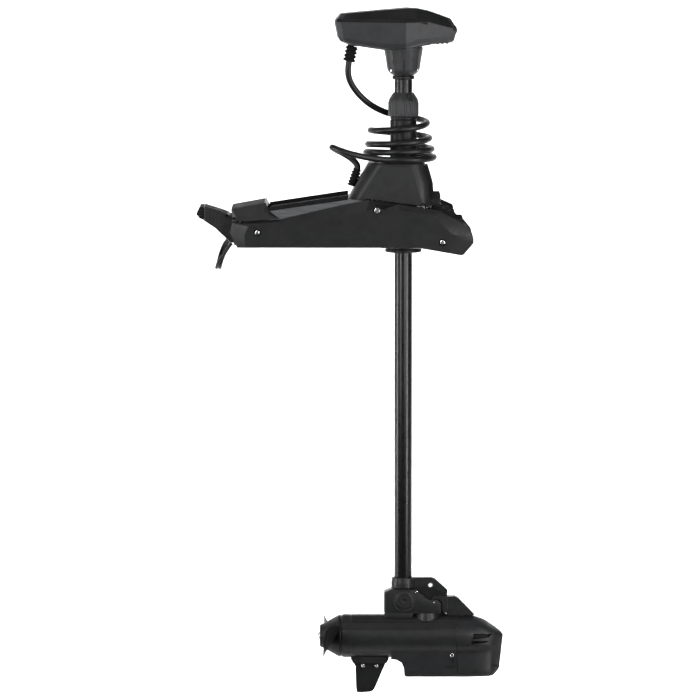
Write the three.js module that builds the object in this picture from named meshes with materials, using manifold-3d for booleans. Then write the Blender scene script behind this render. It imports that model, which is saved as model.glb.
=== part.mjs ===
// Bow-mount electric trolling motor: deck mount with a foot pedal, tilting tower, steered
// shaft with a control head on top and a direct-drive motor pod at the bottom.
// Millimetres, +Z up, +X towards the bow, -Y to starboard. The origin is on the deck plate's
// underside, in the middle of its rear web; the pieces are drawn from a station DATUM_X
// further forward, so the exported group is moved by that much.
import * as THREE from "three";
import { mergeVertices } from "three/addons/utils/BufferGeometryUtils.js";
import Module from "manifold-3d";

const wasm = await Module();
wasm.setup();

// ---- driving dimensions ----
const DATUM_X = 90;
const SHAFT_X = 200; // shaft axis
const SHAFT_R = 19.4; // shaft outside radius
const SHAFT_BORE = 16.4;
const SHAFT_TOP = 422;
const SHAFT_BOTTOM = -746;
const TUBE_R = 29; // steering tube
const TUBE_TOP = 278.4;
const TUBE_BOTTOM = -12;
const TILT_X = 142.7; // stow pivot
const TILT_Z = 80.7;
const RAIL_IN = 84; // channel half width
const RAIL_OUT = 88;
const COVER_IN = 88.3;
const COVER_OUT = 103;
const MOTOR_Z = -857.4; // motor pod axis
const MOTOR_R = 47.6;
const TOWER_TOP = 181;
const GEAR_TEETH = 28; // steering gear and pinion
const PINION_TEETH = 12;
const GEAR_MODULE = 3;
const COLLAR_R = 33.4;
const PROP_TIP = 146;
const CABLE_R = 7; // coiled control cable
const COIL_X = 191.5; // axis of the cable's coil
const GAP = 0.3;

// ---- solids ----
function solid(geometry) {
  const g = geometry.clone();
  for (const a of Object.keys(g.attributes)) if (a !== "position") g.deleteAttribute(a);
  const m = mergeVertices(g, 1e-4);
  let tri = new Uint32Array(m.index.array);
  const make = (t) =>
    new wasm.Manifold(new wasm.Mesh({ numProp: 3, vertProperties: m.attributes.position.array, triVerts: t }));
  let s = make(tri);
  if (s.volume() < 0) {
    for (let i = 0; i < tri.length; i += 3) [tri[i + 1], tri[i + 2]] = [tri[i + 2], tri[i + 1]];
    s = make(tri);
  }
  return s;
}
function geometryOf(s) {
  const m = s.getMesh();
  const pos = new Float32Array(m.numVert * 3);
  for (let i = 0; i < m.numVert; i++)
    for (let k = 0; k < 3; k++) pos[3 * i + k] = m.vertProperties[m.numProp * i + k];
  const g = new THREE.BufferGeometry();
  g.setAttribute("position", new THREE.BufferAttribute(pos, 3));
  g.setIndex(new THREE.BufferAttribute(new Uint32Array(m.triVerts), 1));
  const flat = g.toNonIndexed();
  flat.computeVertexNormals();
  return flat;
}
const join = (...s) => s.reduce((a, b) => a.add(b));
const cut = (a, ...s) => s.reduce((x, b) => x.subtract(b), a);

const box = (x0, x1, y0, y1, z0, z1) =>
  solid(new THREE.BoxGeometry(x1 - x0, y1 - y0, z1 - z0).translate((x0 + x1) / 2, (y0 + y1) / 2, (z0 + z1) / 2));

// Cylinder along an axis from a to b; c is the centre in the two other axes, in x, y, z order.
function rod(axis, r, a, b, c, n = 24, r2 = r) {
  const g = new THREE.CylinderGeometry(r2, r, b - a, n).rotateX(Math.PI / 2).translate(0, 0, (a + b) / 2);
  if (axis === "x") return solid(g.rotateY(Math.PI / 2).translate(0, c[0], c[1]));
  if (axis === "y") return solid(g.rotateX(-Math.PI / 2).translate(c[0], 0, c[1]));
  return solid(g.translate(c[0], c[1], 0));
}
// Solid of revolution: profile of [radius, height], height along the axis.
function spun(axis, profile, c, n = 32) {
  const closed = profile[0][0] > 1e-6;
  const pts = profile.map((p) => new THREE.Vector2(p[0], p[1]));
  if (closed) pts.push(pts[0].clone());
  const g = new THREE.LatheGeometry(pts, n).rotateX(Math.PI / 2);
  if (axis === "x") return solid(g.rotateY(Math.PI / 2).translate(0, c[0], c[1]));
  if (axis === "y") return solid(g.rotateX(-Math.PI / 2).translate(c[0], 0, c[1]));
  return solid(g.translate(c[0], c[1], 0));
}
// Outline in X and Z, from y0 to y1.
function slab(points, y0, y1) {
  const shape = new THREE.Shape(points.map((p) => new THREE.Vector2(p[0], p[1])));
  const g = new THREE.ExtrudeGeometry(shape, { depth: y1 - y0, bevelEnabled: false, curveSegments: 8 });
  return solid(g.rotateX(Math.PI / 2).translate(0, y1, 0));
}
// Outline in X and Y, from z0 to z1.
function prism(points, z0, z1) {
  const shape = new THREE.Shape(points.map((p) => new THREE.Vector2(p[0], p[1])));
  return solid(new THREE.ExtrudeGeometry(shape, { depth: z1 - z0, bevelEnabled: false }).translate(0, 0, z0));
}
// Skin through closed sections of equal point count; flat names the plane the ends are capped in.
function loft(sections, flat) {
  const n = sections[0].length;
  const pos = sections.flat(2);
  const tri = [];
  for (let s = 0; s + 1 < sections.length; s++)
    for (let i = 0; i < n; i++) {
      const a = s * n + i, b = s * n + ((i + 1) % n);
      tri.push(a, b, b + n, a, b + n, a + n);
    }
  const k = { x: [1, 2], y: [0, 2], z: [0, 1] }[flat];
  const cap = (sec, base, flip) => {
    const ring = sec.map((p) => new THREE.Vector2(p[k[0]], p[k[1]]));
    const faces = THREE.ShapeUtils.triangulateShape(ring, []);
    for (const f of faces) tri.push(...(flip ? [f[0], f[2], f[1]] : f).map((i) => base + i));
  };
  // The caps' turn must be opposite to the skin's, whichever way the sections run.
  const ring0 = sections[0].map((p) => new THREE.Vector2(p[k[0]], p[k[1]]));
  const ccw = THREE.ShapeUtils.area(ring0) > 0;
  cap(sections[0], 0, ccw);
  const last = sections[sections.length - 1].map((p) => new THREE.Vector2(p[k[0]], p[k[1]]));
  const ccw2 = THREE.ShapeUtils.area(last) > 0;
  cap(sections[sections.length - 1], (sections.length - 1) * n, !ccw2);
  const g = new THREE.BufferGeometry();
  g.setAttribute("position", new THREE.BufferAttribute(new Float32Array(pos), 3));
  g.setIndex(tri);
  return solid(g);
}
// Tube along a smooth curve through points, with an oval section w wide and h high.
function tube(points, w, h, steps, sides = 8) {
  const curve = new THREE.CatmullRomCurve3(points.map((p) => new THREE.Vector3(...p)), false, "centripetal");
  const shape = new THREE.Shape();
  for (let i = 0; i < sides; i++) {
    const a = ((i + 0.5) / sides) * 2 * Math.PI;
    const x = (w / 2) * Math.cos(a), y = (h / 2) * Math.sin(a);
    i ? shape.lineTo(x, y) : shape.moveTo(x, y);
  }
  shape.closePath();
  return solid(new THREE.ExtrudeGeometry(shape, { steps, extrudePath: curve, bevelEnabled: false }));
}
// Rounded rectangle ring at height z.
function roundRect(x0, x1, hy, r, z, per = 4) {
  const out = [];
  const corners = [[x1 - r, hy - r, 0], [x0 + r, hy - r, 90], [x0 + r, -hy + r, 180], [x1 - r, -hy + r, 270]];
  for (const [cx, cy, a0] of corners)
    for (let i = 0; i < per; i++) {
      const a = ((a0 + (90 * i) / (per - 1)) * Math.PI) / 180;
      out.push([cx + r * Math.cos(a), cy + r * Math.sin(a), z]);
    }
  return out;
}
const mirrorY = (s) => s.mirror([0, 1, 0]);
// Piecewise linear function through [x, value] pairs.
const along = (pts) => (x) => {
  if (x <= pts[0][0]) return pts[0][1];
  for (let i = 1; i < pts.length; i++)
    if (x <= pts[i][0])
      return pts[i - 1][1] + ((pts[i][1] - pts[i - 1][1]) * (x - pts[i - 1][0])) / (pts[i][0] - pts[i - 1][0]);
  return pts[pts.length - 1][1];
};

// ---- finishes ----
const paint = (color, roughness, metalness) => new THREE.MeshStandardMaterial({ color, roughness, metalness });
const finishes = {
  plastic: () => paint(0x2d2e30, 0.6, 0),
  dark: () => paint(0x1d1e20, 0.5, 0),
  rubber: () => paint(0x121212, 0.85, 0),
  shaft: () => paint(0x202124, 0.3, 0.1),
  housing: () => paint(0x2f3033, 0.55, 0.2),
  steel: () => paint(0xc9ccd0, 0.25, 1),
  alloy: () => paint(0x6a6d70, 0.45, 1),
  copper: () => paint(0xb0693a, 0.4, 1),
  board: () => paint(0x1c4a2c, 0.5, 0),
  cable: () => paint(0x2a2b2c, 0.5, 0),
};
const trollingMotor = new THREE.Group();
trollingMotor.position.x = DATUM_X;
const groups = {};
function piece(body, name, s, finish) {
  if (!groups[body]) {
    groups[body] = new THREE.Group();
    trollingMotor.add(groups[body]);
  }
  const mesh = new THREE.Mesh(geometryOf(s), finishes[finish]());
  mesh.name = name;
  groups[body].add(mesh);
  return mesh;
}

// ---- deck mount ----
const boltHoles = (s, side) =>
  cut(
    s,
    rod("y", 5.6, side < 0 ? -120 : 70, side < 0 ? -70 : 120, [TILT_X, TILT_Z]),
    rod("y", 3.4, side < 0 ? -120 : 70, side < 0 ? -70 : 120, REAR_SCREW, 16),
    rod("y", 3.4, side < 0 ? -120 : 70, side < 0 ? -70 : 120, BOW_SCREW, 16),
  );
const REAR_SCREW = [-116.2, 32.9];
const BOW_SCREW = [283.7, 12];

// Deck plate, forked towards the bow so that the shaft can swing up between its arms.
piece("mount", "deck_base_plate",
  cut(prism([[-158, -88], [238, -88], [238, -60], [-8, -60], [-20, -48], [-20, 48], [-8, 60], [238, 60], [238, 88], [-158, 88]], 0, 4),
    ...[[-142, -77], [-142, 77], [60, -77], [60, 77]].map((c) => rod("z", 4.2, -5, 10, c, 12))),
  "alloy");

const railLine = [[-150, 4.3], [-150, 50], [-94, 54], [-90.4, 79.6], [73, 105.6], [112, 101], [122, 92], [150, 84], [196, 86], [268, 70], [318, 44], [338, 18], [322, -8], [240, 1]];
const rail = boltHoles(slab([...railLine, [238, 4.3]], -RAIL_OUT, -RAIL_IN), -1);
piece("mount", "rail_starboard", rail, "alloy");
piece("mount", "rail_port", mirrorY(rail), "alloy");

// Side cover: full outline on the inside, smaller flat face outside, chamfered between them.
const coverLine = [[-160.1, -0.1], [-175.8, 33.2], [-170.2, 53.7], [-136.2, 54.6], [-68.6, 61.1], [62.2, 91.2], [125.9, 103.9], [140.5, 88.8], [163.4, 85.8], [189.5, 94], [278.3, 79.4], [332.1, 51.1], [348.2, 31], [351.3, 19.7], [351.1, 9.7], [329.3, -15.4], [324, -16.5], [240.5, -2.1], [160.3, -0.1]];
const coverFace = [[-141.4, 0.3], [-144.7, 25.5], [-136.2, 46.9], [-116.5, 51.5], [-66.4, 55.6], [62.2, 68.9], [118.9, 80], [134.2, 85.1], [163.4, 82], [189.5, 80.7], [261.5, 71.8], [282.4, 51.3], [299.8, 33.8], [306.2, 27.3], [303.1, 20.8], [293.3, 8.3], [290.7, 4.2], [240.5, 0], [160.3, 0]];
const at = (line, y) => line.map((p) => [p[0], y, p[1]]);
const shrunk = (line, kx, kz) => {
  const cx = 90, cz = 36;
  return line.map((p) => [cx + (p[0] - cx) * kx, cz + (p[1] - cz) * kz]);
};
const coverSkin = loft([at(coverLine, -COVER_IN), at(coverLine, -96), at(coverFace, -COVER_OUT)], "y");
const coverHollow = loft([at(shrunk(coverLine, 0.86, 0.84), -COVER_IN + 2), at(shrunk(coverLine, 0.86, 0.84), -94.5), at(shrunk(coverFace, 0.86, 0.82), -99.5)], "y");
const pocket = (c, r) => rod("y", r, -110, -99.6, c, 20);
const cover = boltHoles(cut(coverSkin, coverHollow, pocket(REAR_SCREW, 8.5), pocket(BOW_SCREW, 8.5), pocket([TILT_X, TILT_Z], 9)), -1);
piece("mount", "side_cover_starboard", cover, "plastic");
piece("mount", "side_cover_port", mirrorY(cover), "plastic");

// Rear top cover, open below and behind for the pedal.
const capLine = [[-170.2, 57.1], [-136.2, 56.2], [-68.6, 62.8], [-90.6, 79.4], [-98, 97], [-173.4, 83.1]];
const capEdge = [[-164.5, 58.3], [-136.2, 57.5], [-72.9, 63.4], [-90.4, 71.6], [-103.5, 74.9], [-162.3, 68.4]];
const capOuter = loft([at(capEdge, -99), at(capLine, -90), at(capLine, 90), at(capEdge, 99)], "y");
const capInner = slab([[-180, 40], [-180, 74], [-169, 78.5], [-102, 91], [-97, 76], [-60, 60], [-60, 40]], -88.5, 88.5);
piece("mount", "rear_top_cover", cut(capOuter, capInner, box(-95, -60, -88.5, -83.4, 40, 88), box(-95, -60, 83.4, 88.5, 40, 88)), "plastic");

// Rubber strips along the rails' upper edges, which the stowed tower comes down between.
const trim = cut(slab([[-86, 79.9], [70, 102.3], [70, 112], [-86, 88.6]], -92, -RAIL_IN + 0.5), slab(railLine.map((p) => [p[0], p[1] + 0.5]), -RAIL_OUT - 0.3, -RAIL_IN + 1), loft([at(coverLine.map((p) => [p[0], p[1] + 0.8]), -120), at(coverLine.map((p) => [p[0], p[1] + 0.8]), -COVER_IN + 0.3)], "y"));
piece("mount", "rail_trim_starboard", trim, "rubber");
piece("mount", "rail_trim_port", mirrorY(trim), "rubber");

// Rubber bumpers on the arms' sloping bow ends, where the stowed motor rests.
const padLine = [[280.9, 95.4], [308.8, 82.7], [312.5, 66.4], [317.3, 60], [329, 59.8], [332.1, 51.1]];
const pad = slab([...padLine, [331, 50], [318, 47.5], [268, 74]], -95, -RAIL_IN + 0.5);
const padCut = slab(railLine.map((p) => [p[0], p[1] + 0.6]), -RAIL_OUT - 0.3, -RAIL_IN + 1);
const padCutCover = loft([at(coverLine.map((p) => [p[0] + 0.5, p[1] + 0.8]), -120), at(coverLine.map((p) => [p[0] + 0.5, p[1] + 0.8]), -COVER_IN + 0.3)], "y");
const bumper = cut(pad, padCut, padCutCover).decompose().sort((a, b) => b.volume() - a.volume())[0];
piece("mount", "bow_pad_starboard", bumper, "rubber");
piece("mount", "bow_pad_port", mirrorY(bumper), "rubber");

// Pivot bolt right across the channel, with a round head at each side.
piece("mount", "tilt_bolt",
  join(rod("y", 5, -104, 104, [TILT_X, TILT_Z]), rod("y", 6.5, -103.6, -100.2, [TILT_X, TILT_Z], 20), rod("y", 6.5, 100.2, 103.6, [TILT_X, TILT_Z], 20)),
  "steel");
const screw = (c) => join(rod("y", 3, -101, -82, c, 12), rod("y", 5.4, -103.4, -100.2, c, 16));
piece("mount", "rear_screw_starboard", screw(REAR_SCREW), "steel");
piece("mount", "rear_screw_port", mirrorY(screw(REAR_SCREW)), "steel");
piece("mount", "bow_screw_starboard", screw(BOW_SCREW), "steel");
piece("mount", "bow_screw_port", mirrorY(screw(BOW_SCREW)), "steel");

// ---- release pedal and latch ----
const PEDAL_X = -150, PEDAL_Z = 31, PEDAL_W = 58;
const pedalLine = [[-233.4, 86.1], [-193.5, 73.9], [-179.8, 68.5], [-160.1, 57.6], [-147.1, 35.8], [-149.2, 14], [-162.3, 7.4], [-174.7, 8.3], [-208.1, 39.9], [-233.4, 56.2]];
const pedal = loft([at(shrunkTo(pedalLine, 0.94), -PEDAL_W), at(pedalLine, -PEDAL_W + 5), at(pedalLine, PEDAL_W - 5), at(shrunkTo(pedalLine, 0.94), PEDAL_W)], "y");
piece("pedal", "pedal", cut(pedal, rod("y", 4.4, -80, 80, [PEDAL_X, PEDAL_Z], 16)), "plastic");
const endLine = [[-233.8, 86.5], [-240.8, 86.1], [-249.3, 70], [-240.8, 60.6], [-233.8, 56.7]];
piece("pedal", "pedal_end_cap", slab(endLine.map((p) => [p[0] - 0.5, p[1]]), -PEDAL_W + 1, PEDAL_W - 1), "rubber");
piece("mount", "pedal_pin", rod("y", 4, -RAIL_IN + 0.4, RAIL_IN - 0.4, [PEDAL_X, PEDAL_Z], 16), "steel");
function shrunkTo(line, k) {
  const cx = line.reduce((a, p) => a + p[0], 0) / line.length, cz = line.reduce((a, p) => a + p[1], 0) / line.length;
  return line.map((p) => [cx + (p[0] - cx) * k, cz + (p[1] - cz) * k]);
}
// Latch bar along the channel floor, drawn back by the pedal.
piece("latch", "latch_bar", join(box(-122, 146, 66, 72, 5, 15), box(138, 147, 40, 72, 5, 15)), "alloy");

// ---- power cable: twin lead from the rear starboard corner, wound up behind the mount ----
const powerExit = [-168.5, -76, 8];
piece("mount", "power_gland",
  join(rod("x", 9, -166, -152, [-76, 14], 16), tube([[-168, -76, 11], [-160, -76, 13], [-150, -76, 13]], 17, 12, 4, 10)), "rubber");
const powerRoute = [[-172, -76, 8.5], [-178, -76, 1], [-185, -76, -10], [-192, -74.5, -21], [-198, -68, -33], [-201, -56, -42.5], [-202, -38, -47.5], [-201.5, -18, -46.5],
  [-200, 4, -40], [-198, 26, -30.5], [-195, 48, -20], [-191, 70, -10], [-186.5, 92, -1.5], [-181.5, 114, 3.8], [-177, 138, 4.4], [-174.5, 165, 4.4]];
piece("mount", "power_cable", tube(powerRoute, 14.4, 7.2, 30, 8), "cable");
const COIL_AT = [-80, 195];
piece("mount", "power_cable_coil",
  cut(spun("z", [[52, 0.8], [86, 0.8], [86, 15.2], [52, 15.2]], COIL_AT, 40)), "cable");
const terminal = (x) => join(rod("y", 4.4, 124.5, 138, [x, 5.2], 12), box(x - 4, x + 4, 114.5, 128, 3.6, 6.8), rod("z", 8, 3.6, 6.8, [x, 114.5], 20))
  .subtract(rod("z", 4.1, 0, 10, [x, 114.5], 16));
piece("mount", "terminal_positive", terminal(9), "copper");
piece("mount", "terminal_negative", terminal(-10), "copper");

// ---- tilting tower ----
const towerRings = (inset) => [
  roundRect(124 + inset, 246 - inset, 60 - inset, 34 - inset, TOWER_TOP - inset),
  roundRect(98 + inset, 257 - inset, 64 - inset, 30 - inset, 136),
  roundRect(74 + inset, 258 - inset, 66 - inset, 26 - inset, 93),
  roundRect(74 + inset, 258 - inset, 66 - inset, 26 - inset, 60),
];
const towerFoot = slab([[40, 40], [40, 97], [128, 104], [192, 94.5], [290, 82], [290, 40]], -90, 90);
const glandLow = [88, -12, 129], glandHigh = [99, -12, 163];
const towerSkin = cut(loft(towerRings(0), "z"), loft(towerRings(3.5), "z"), towerFoot,
  rod("z", TUBE_R + 0.8, 150, 200, [SHAFT_X, 0], 28),
  tube([[84.8, -12, 119], [88, -12, 129], [100.3, -12, 167]], 27, 27, 3, 16));
const half = (s, side) => s.intersect(side < 0 ? box(0, 400, -200, -0.2, 0, 300) : box(0, 400, 0.2, 200, 0, 300));
piece("tower", "tower_shell_starboard", half(towerSkin, -1), "plastic");
piece("tower", "tower_shell_port", half(towerSkin, 1), "plastic");
piece("tower", "tower_bow_trim", slab([[248.2, 175], [252.5, 175], [263.8, 137], [264.8, 117], [264.8, 92], [258.8, 92], [258, 136]], -40, 40), "rubber");
piece("tower", "lock_block",
  join(slab([[265.2, 92], [280, 92], [280.5, 108], [278.5, 117], [265.2, 117]], -16, 16), slab([[252.6, 68], [279, 66], [281, 92.2], [265.2, 92.2], [262, 83], [252.6, 81]], -22, 22)), "dark");

// Housing that carries the steering tube, hung on the pivot bolt inside the channel.
const housing = slab([[152, -4], [246, -4], [252, 64], [252, 79], [195, 92], [133, 101], [126, 82], [132, 66], [150, 58]], -54, 54);
piece("tower", "lower_housing",
  cut(housing, rod("z", TUBE_R + 0.5, -50, 150, [SHAFT_X, 0], 28), rod("y", 5.4, -90, 90, [TILT_X, TILT_Z]), rod("z", 16, 40, 130, [168, 36], 12)), "dark");
piece("tower", "bottom_flange", spun("z", [[TUBE_R + 0.5, -16], [38, -16], [40, -14], [40, -4.4], [TUBE_R + 0.5, -4.4]], [SHAFT_X, 0]), "dark");
piece("tower", "upper_bearing", spun("z", [[TUBE_R + 0.4, 164], [42, 164], [42, 176.8], [TUBE_R + 0.4, 176.8]], [SHAFT_X, 0]), "alloy");

// Steering gear on the tube and its pinion under the steering motor.
function gear(teeth, module, bore, z0, z1, c, turn) {
  const rp = (teeth * module) / 2, ro = rp + module * 0.85, ri = rp - module * 1.2, pts = [];
  const p = (2 * Math.PI) / teeth;
  for (let i = 0; i < teeth; i++)
    for (const [r, f] of [[ri, -0.27], [ro, -0.11], [ro, 0.11], [ri, 0.27]]) {
      const a = (i + f) * p + turn;
      pts.push([c[0] + r * Math.cos(a), c[1] + r * Math.sin(a)]);
    }
  return cut(prism(pts, z0, z1), rod("z", bore, z0 - 5, z1 + 5, c, 24));
}
const PINION_X = SHAFT_X - ((GEAR_TEETH + PINION_TEETH) * GEAR_MODULE) / 2;
piece("steering", "steering_gear", gear(GEAR_TEETH, GEAR_MODULE, TUBE_R + 0.3, 110, 124, [SHAFT_X, 0], 0), "steel");
piece("pinion", "steer_pinion", gear(PINION_TEETH, GEAR_MODULE, 5.2, 110, 124, [PINION_X, 0], Math.PI / PINION_TEETH), "steel");
piece("tower", "steer_motor", join(rod("z", 17, 126, 158, [PINION_X, 0], 24), rod("z", 4.8, 108, 126.2, [PINION_X, 0], 12)), "alloy");
const ribbed = (a, b, r, n) => {
  const len = Math.hypot(b[0] - a[0], b[1] - a[1], b[2] - a[2]);
  const prof = [[0, 0], [r, 0]];
  for (let i = 0; i < n; i++) {
    const z = (len * (i + 0.55)) / n, w = len / n;
    prof.push([r, z], [r - 2, z + 0.02 * w], [r - 2, z + 0.43 * w], [r, z + 0.45 * w]);
  }
  prof.pop();
  prof.push([r - 2, len], [0, len]);
  const g = new THREE.LatheGeometry(prof.map((p) => new THREE.Vector2(...p)), 12);
  const q = new THREE.Quaternion().setFromUnitVectors(new THREE.Vector3(0, 1, 0), new THREE.Vector3((b[0] - a[0]) / len, (b[1] - a[1]) / len, (b[2] - a[2]) / len));
  return solid(g.applyQuaternion(q).translate(...a));
};
piece("tower", "tower_gland", ribbed(glandLow, glandHigh, 11, 4), "rubber");

// ---- steered tube ----
piece("steering", "steering_tube",
  spun("z", [[SHAFT_R + 0.6, TUBE_BOTTOM], [TUBE_R, TUBE_BOTTOM], [TUBE_R, TUBE_TOP], [SHAFT_R + 0.6, TUBE_TOP]], [SHAFT_X, 0]), "dark");

// ---- shaft, depth collar and head ----
piece("shaft", "shaft_tube", spun("z", [[SHAFT_BORE, SHAFT_BOTTOM], [SHAFT_R, SHAFT_BOTTOM], [SHAFT_R, SHAFT_TOP], [SHAFT_BORE, SHAFT_TOP]], [SHAFT_X, 0]), "shaft");
piece("collar", "depth_collar",
  spun("z", [[SHAFT_R + 0.3, 279], [COLLAR_R - 1, 279], [COLLAR_R, 283], [COLLAR_R, 311], [31.3, 318], [22, 332], [SHAFT_R + 0.3, 332]], [SHAFT_X, 0]), "plastic");
piece("shaft", "shaft_top_ring", spun("z", [[SHAFT_R + 0.3, 360], [23, 360], [24.3, 362], [24.3, 367], [SHAFT_R + 0.3, 368.6]], [SHAFT_X, 0]), "dark");
piece("shaft", "neck_clamp", spun("z", [[SHAFT_R + 0.3, 369.2], [23.5, 369.2], [31, 375], [35.4, 380], [38.6, 400], [42.6, 423.6], [SHAFT_R + 0.3, 423.6]], [SHAFT_X, 0]), "plastic");

const bottomZ = along([[53, 441], [74, 438], [161, 424.8], [201, 425], [243, 437], [303, 440], [316, 441]]);
const seamZ = along([[53, 487], [214, 485], [252, 486.5], [314, 470]]);
const topZ = along([[59, 503], [214, 518], [243, 514], [281, 500], [303, 492]]);
// Plan of the head: wide and square aft, narrowing towards the bow end.
const plan = (xl, xr, hl, hr, zf) => {
  const half = [[xr, hr * 0.6], [xr - 10, hr], [252, hl * 0.42 + hr * 0.6], [205, hl], [161, hl], [xl + 14, hl], [xl, hl * 0.8]];
  return [...half.map(([x, y]) => [x, y, zf(x)]), ...half.slice().reverse().map(([x, y]) => [x, -y, zf(x)])];
};
const up = (f, d) => (x) => f(x) + d;
const headShell = cut(
  loft([plan(90, 294, 5, 5, bottomZ), plan(86, 298, 56, 22, bottomZ), plan(58, 310, 70, 32, up(bottomZ, 9)), plan(53, 314, 75, 36, seamZ)], "z"),
  loft([plan(98, 286, 5, 5, up(bottomZ, 4)), plan(94, 290, 48, 16, up(bottomZ, 4)), plan(63, 304, 64, 27, up(bottomZ, 13)), plan(58, 309, 70, 31, up(seamZ, 3))], "z"));
piece("shaft", "head_lower_shell", headShell, "plastic");
piece("shaft", "head_top_cover", cut(
  loft([plan(53, 314, 75, 36, up(seamZ, 0.5)), plan(56, 311, 72, 33.5, up(seamZ, 6)), plan(61, 303, 42, 18, topZ), plan(66, 298, 4, 4, topZ)], "z"),
  loft([plan(58, 309, 70, 31, up(seamZ, -3)), plan(61, 305, 66, 28, up(seamZ, 3)), plan(70, 288, 36, 11, up(topZ, -5)), plan(74, 284, 3, 3, up(topZ, -5))], "z")), "plastic");
piece("shaft", "circuit_board", prism([[80, -48], [236, -48], [262, -30], [262, 30], [236, 48], [80, 48]], 462, 464), "board");
const headGland = [[81.5, 0, 399.8], [88.5, 0, 432]];
piece("shaft", "head_gland", ribbed(headGland[0], headGland[1], 13.4, 4), "rubber");

// ---- lower knuckle ----
const underMotor = rod("x", MOTOR_R + 0.4, 0, 500, [0, MOTOR_Z], 48);
const socketArm = [[203.9, -728.1], [264.1, -728.1], [297.9, -757.6], [296.6, -763.9], [249, -764.5], [228.3, -749.5], [203.9, -749.5]];
piece("shaft", "shaft_socket", cut(
  join(spun("z", [[0, -752], [26, -752], [26, -747], [24.9, -728.6], [0, -728.6]], [SHAFT_X, 0]), slab(socketArm, -7, 7)),
  rod("z", SHAFT_R + 0.3, SHAFT_BOTTOM - 0.5, -700, [SHAFT_X, 0], 32),
  rod("y", 3.9, -20, 20, [259.7, -746.0], 16)), "housing");
const blockLine = [[158.1, -759.3], [173.4, -752.8], [226.6, -752.8], [258.6, -776.2], [277, -776.2], [283.5, -784], [283.5, -804.5], [219, -804.5], [215.9, -826], [158.1, -826]];
const block = loft([at(shrunkTo(blockLine, 0.93), -26), at(blockLine, -21), at(blockLine, 21), at(shrunkTo(blockLine, 0.93), 26)], "y");
const swivelX = 252;
const knuckle = cut(block, underMotor, rod("z", 26.4, -753, -700, [SHAFT_X, 0], 32), rod("z", 33.6, -900, -804.9, [swivelX, 0], 32), box(120, 300, -60, 60, -752.6, -700));
piece("shaft", "knuckle_body", knuckle, "housing");
const capAt = [202.4, -777.2];
piece("shaft", "knuckle_cap", join(rod("y", 25, -28.6, -26.3, capAt, 32), rod("y", 17, -31.5, -28.5, capAt, 28)), "housing");
piece("shaft", "swivel_post", cut(
  spun("z", [[0, -840], [33, -840], [31.5, -826], [29, -805.2], [0, -805.2]], [swivelX, 0], 32), underMotor), "housing");
piece("shaft", "nose_wedge", cut(
  slab([[293.3, -769.5], [312.9, -769.1], [321, -773.5], [360.4, -814.4], [363.1, -827.5], [295.5, -827.5]], -13, 13),
  underMotor), "housing");

// ---- motor pod ----
piece("shaft", "motor_housing", cut(
  spun("x", [[0, 64.5], [45.6, 64.5], [MOTOR_R, 71], [MOTOR_R, 319.5], [0, 319.5]], [0, MOTOR_Z], 40),
  spun("x", [[0, 72], [42.6, 72], [42.6, 330], [0, 330]], [0, MOTOR_Z], 32),
  rod("x", 7.4, 50, 80, [0, MOTOR_Z], 16)), "housing");
piece("shaft", "motor_stator", spun("x", [[31.4, 118], [42.2, 118], [42.2, 268], [31.4, 268]], [0, MOTOR_Z], 32), "steel");
piece("propeller", "motor_rotor", join(
  spun("x", [[0, 112], [29.8, 112], [29.8, 274], [0, 274]], [0, MOTOR_Z], 28), rod("x", 6.8, 48, 300, [0, MOTOR_Z], 16)), "copper");

// Nose with the sonar window below it: sections across the pod, the last ones raked back.
const noseTop = [[320.2, -811, 46, 38, -944.6, 12], [360, -814.6, 43, 36, -944.6, 12], [391, -829.8, 32, 28, -944.2, 14], [409, -843, 18, 15, -938, 12], [418.6, -853, 5, 4.5, -928, 6]];
const noseRing = ([x, top, hw, hb, low, r]) => {
  const rake = (z) => (x > 390 ? ((x - 390) / 28.6) * 9 * ((top - z) / 90) : 0);
  const pts = [];
  const ry = hw, rz = Math.max(top - MOTOR_Z, 5);
  for (const a of [90, 65, 40, 15]) pts.push([ry * Math.cos((a * Math.PI) / 180), MOTOR_Z + rz * Math.sin((a * Math.PI) / 180)]);
  pts.push([hw * 0.99, MOTOR_Z - 14], [hb, MOTOR_Z - 32], [hb, low + r], [hb - r * 0.3, low + r * 0.3], [hb - r * 0.9 > 1 ? hb - r : 1, low]);
  const left = pts.slice(1).reverse().map(([y, z]) => [-y, z]);
  return [...pts, ...left].map(([y, z]) => [x - rake(z), y, z]);
};
piece("shaft", "nose_cone", loft(noseTop.map(noseRing), "x"), "housing");
const skirtLine = [[173.4, -883.1], [280.2, -883.1], [318.6, -883.1], [318.6, -943.2], [202.8, -943.2], [201.3, -924.5], [196.7, -912.9], [185.4, -906], [173.4, -904.4]];
piece("shaft", "sonar_skirt", cut(
  loft([at(shrunkTo(skirtLine, 0.97), -38), at(skirtLine, -35.5), at(skirtLine, 35.5), at(shrunkTo(skirtLine, 0.97), 38)], "y"), underMotor), "housing");

// ---- fin ----
const bracketLine = [[85.8, -892.9], [169.9, -892.9], [168.6, -908.2], [163.4, -916.7], [91.4, -916.7], [85.8, -907.3]];
piece("shaft", "fin_bracket", cut(slab(bracketLine, -16, 16), underMotor), "housing");
const finLine = [[92.5, -917.3], [162.5, -917.3], [139.8, -970.3], [134.2, -979.3], [120, -982.3], [98.2, -983.2], [95.8, -925.6]];
piece("shaft", "fin", loft([at(shrunkTo(finLine, 0.97), -3.2), at(finLine, -2.2), at(finLine, 2.2), at(shrunkTo(finLine, 0.97), 3.2)], "y"), "housing");

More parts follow.
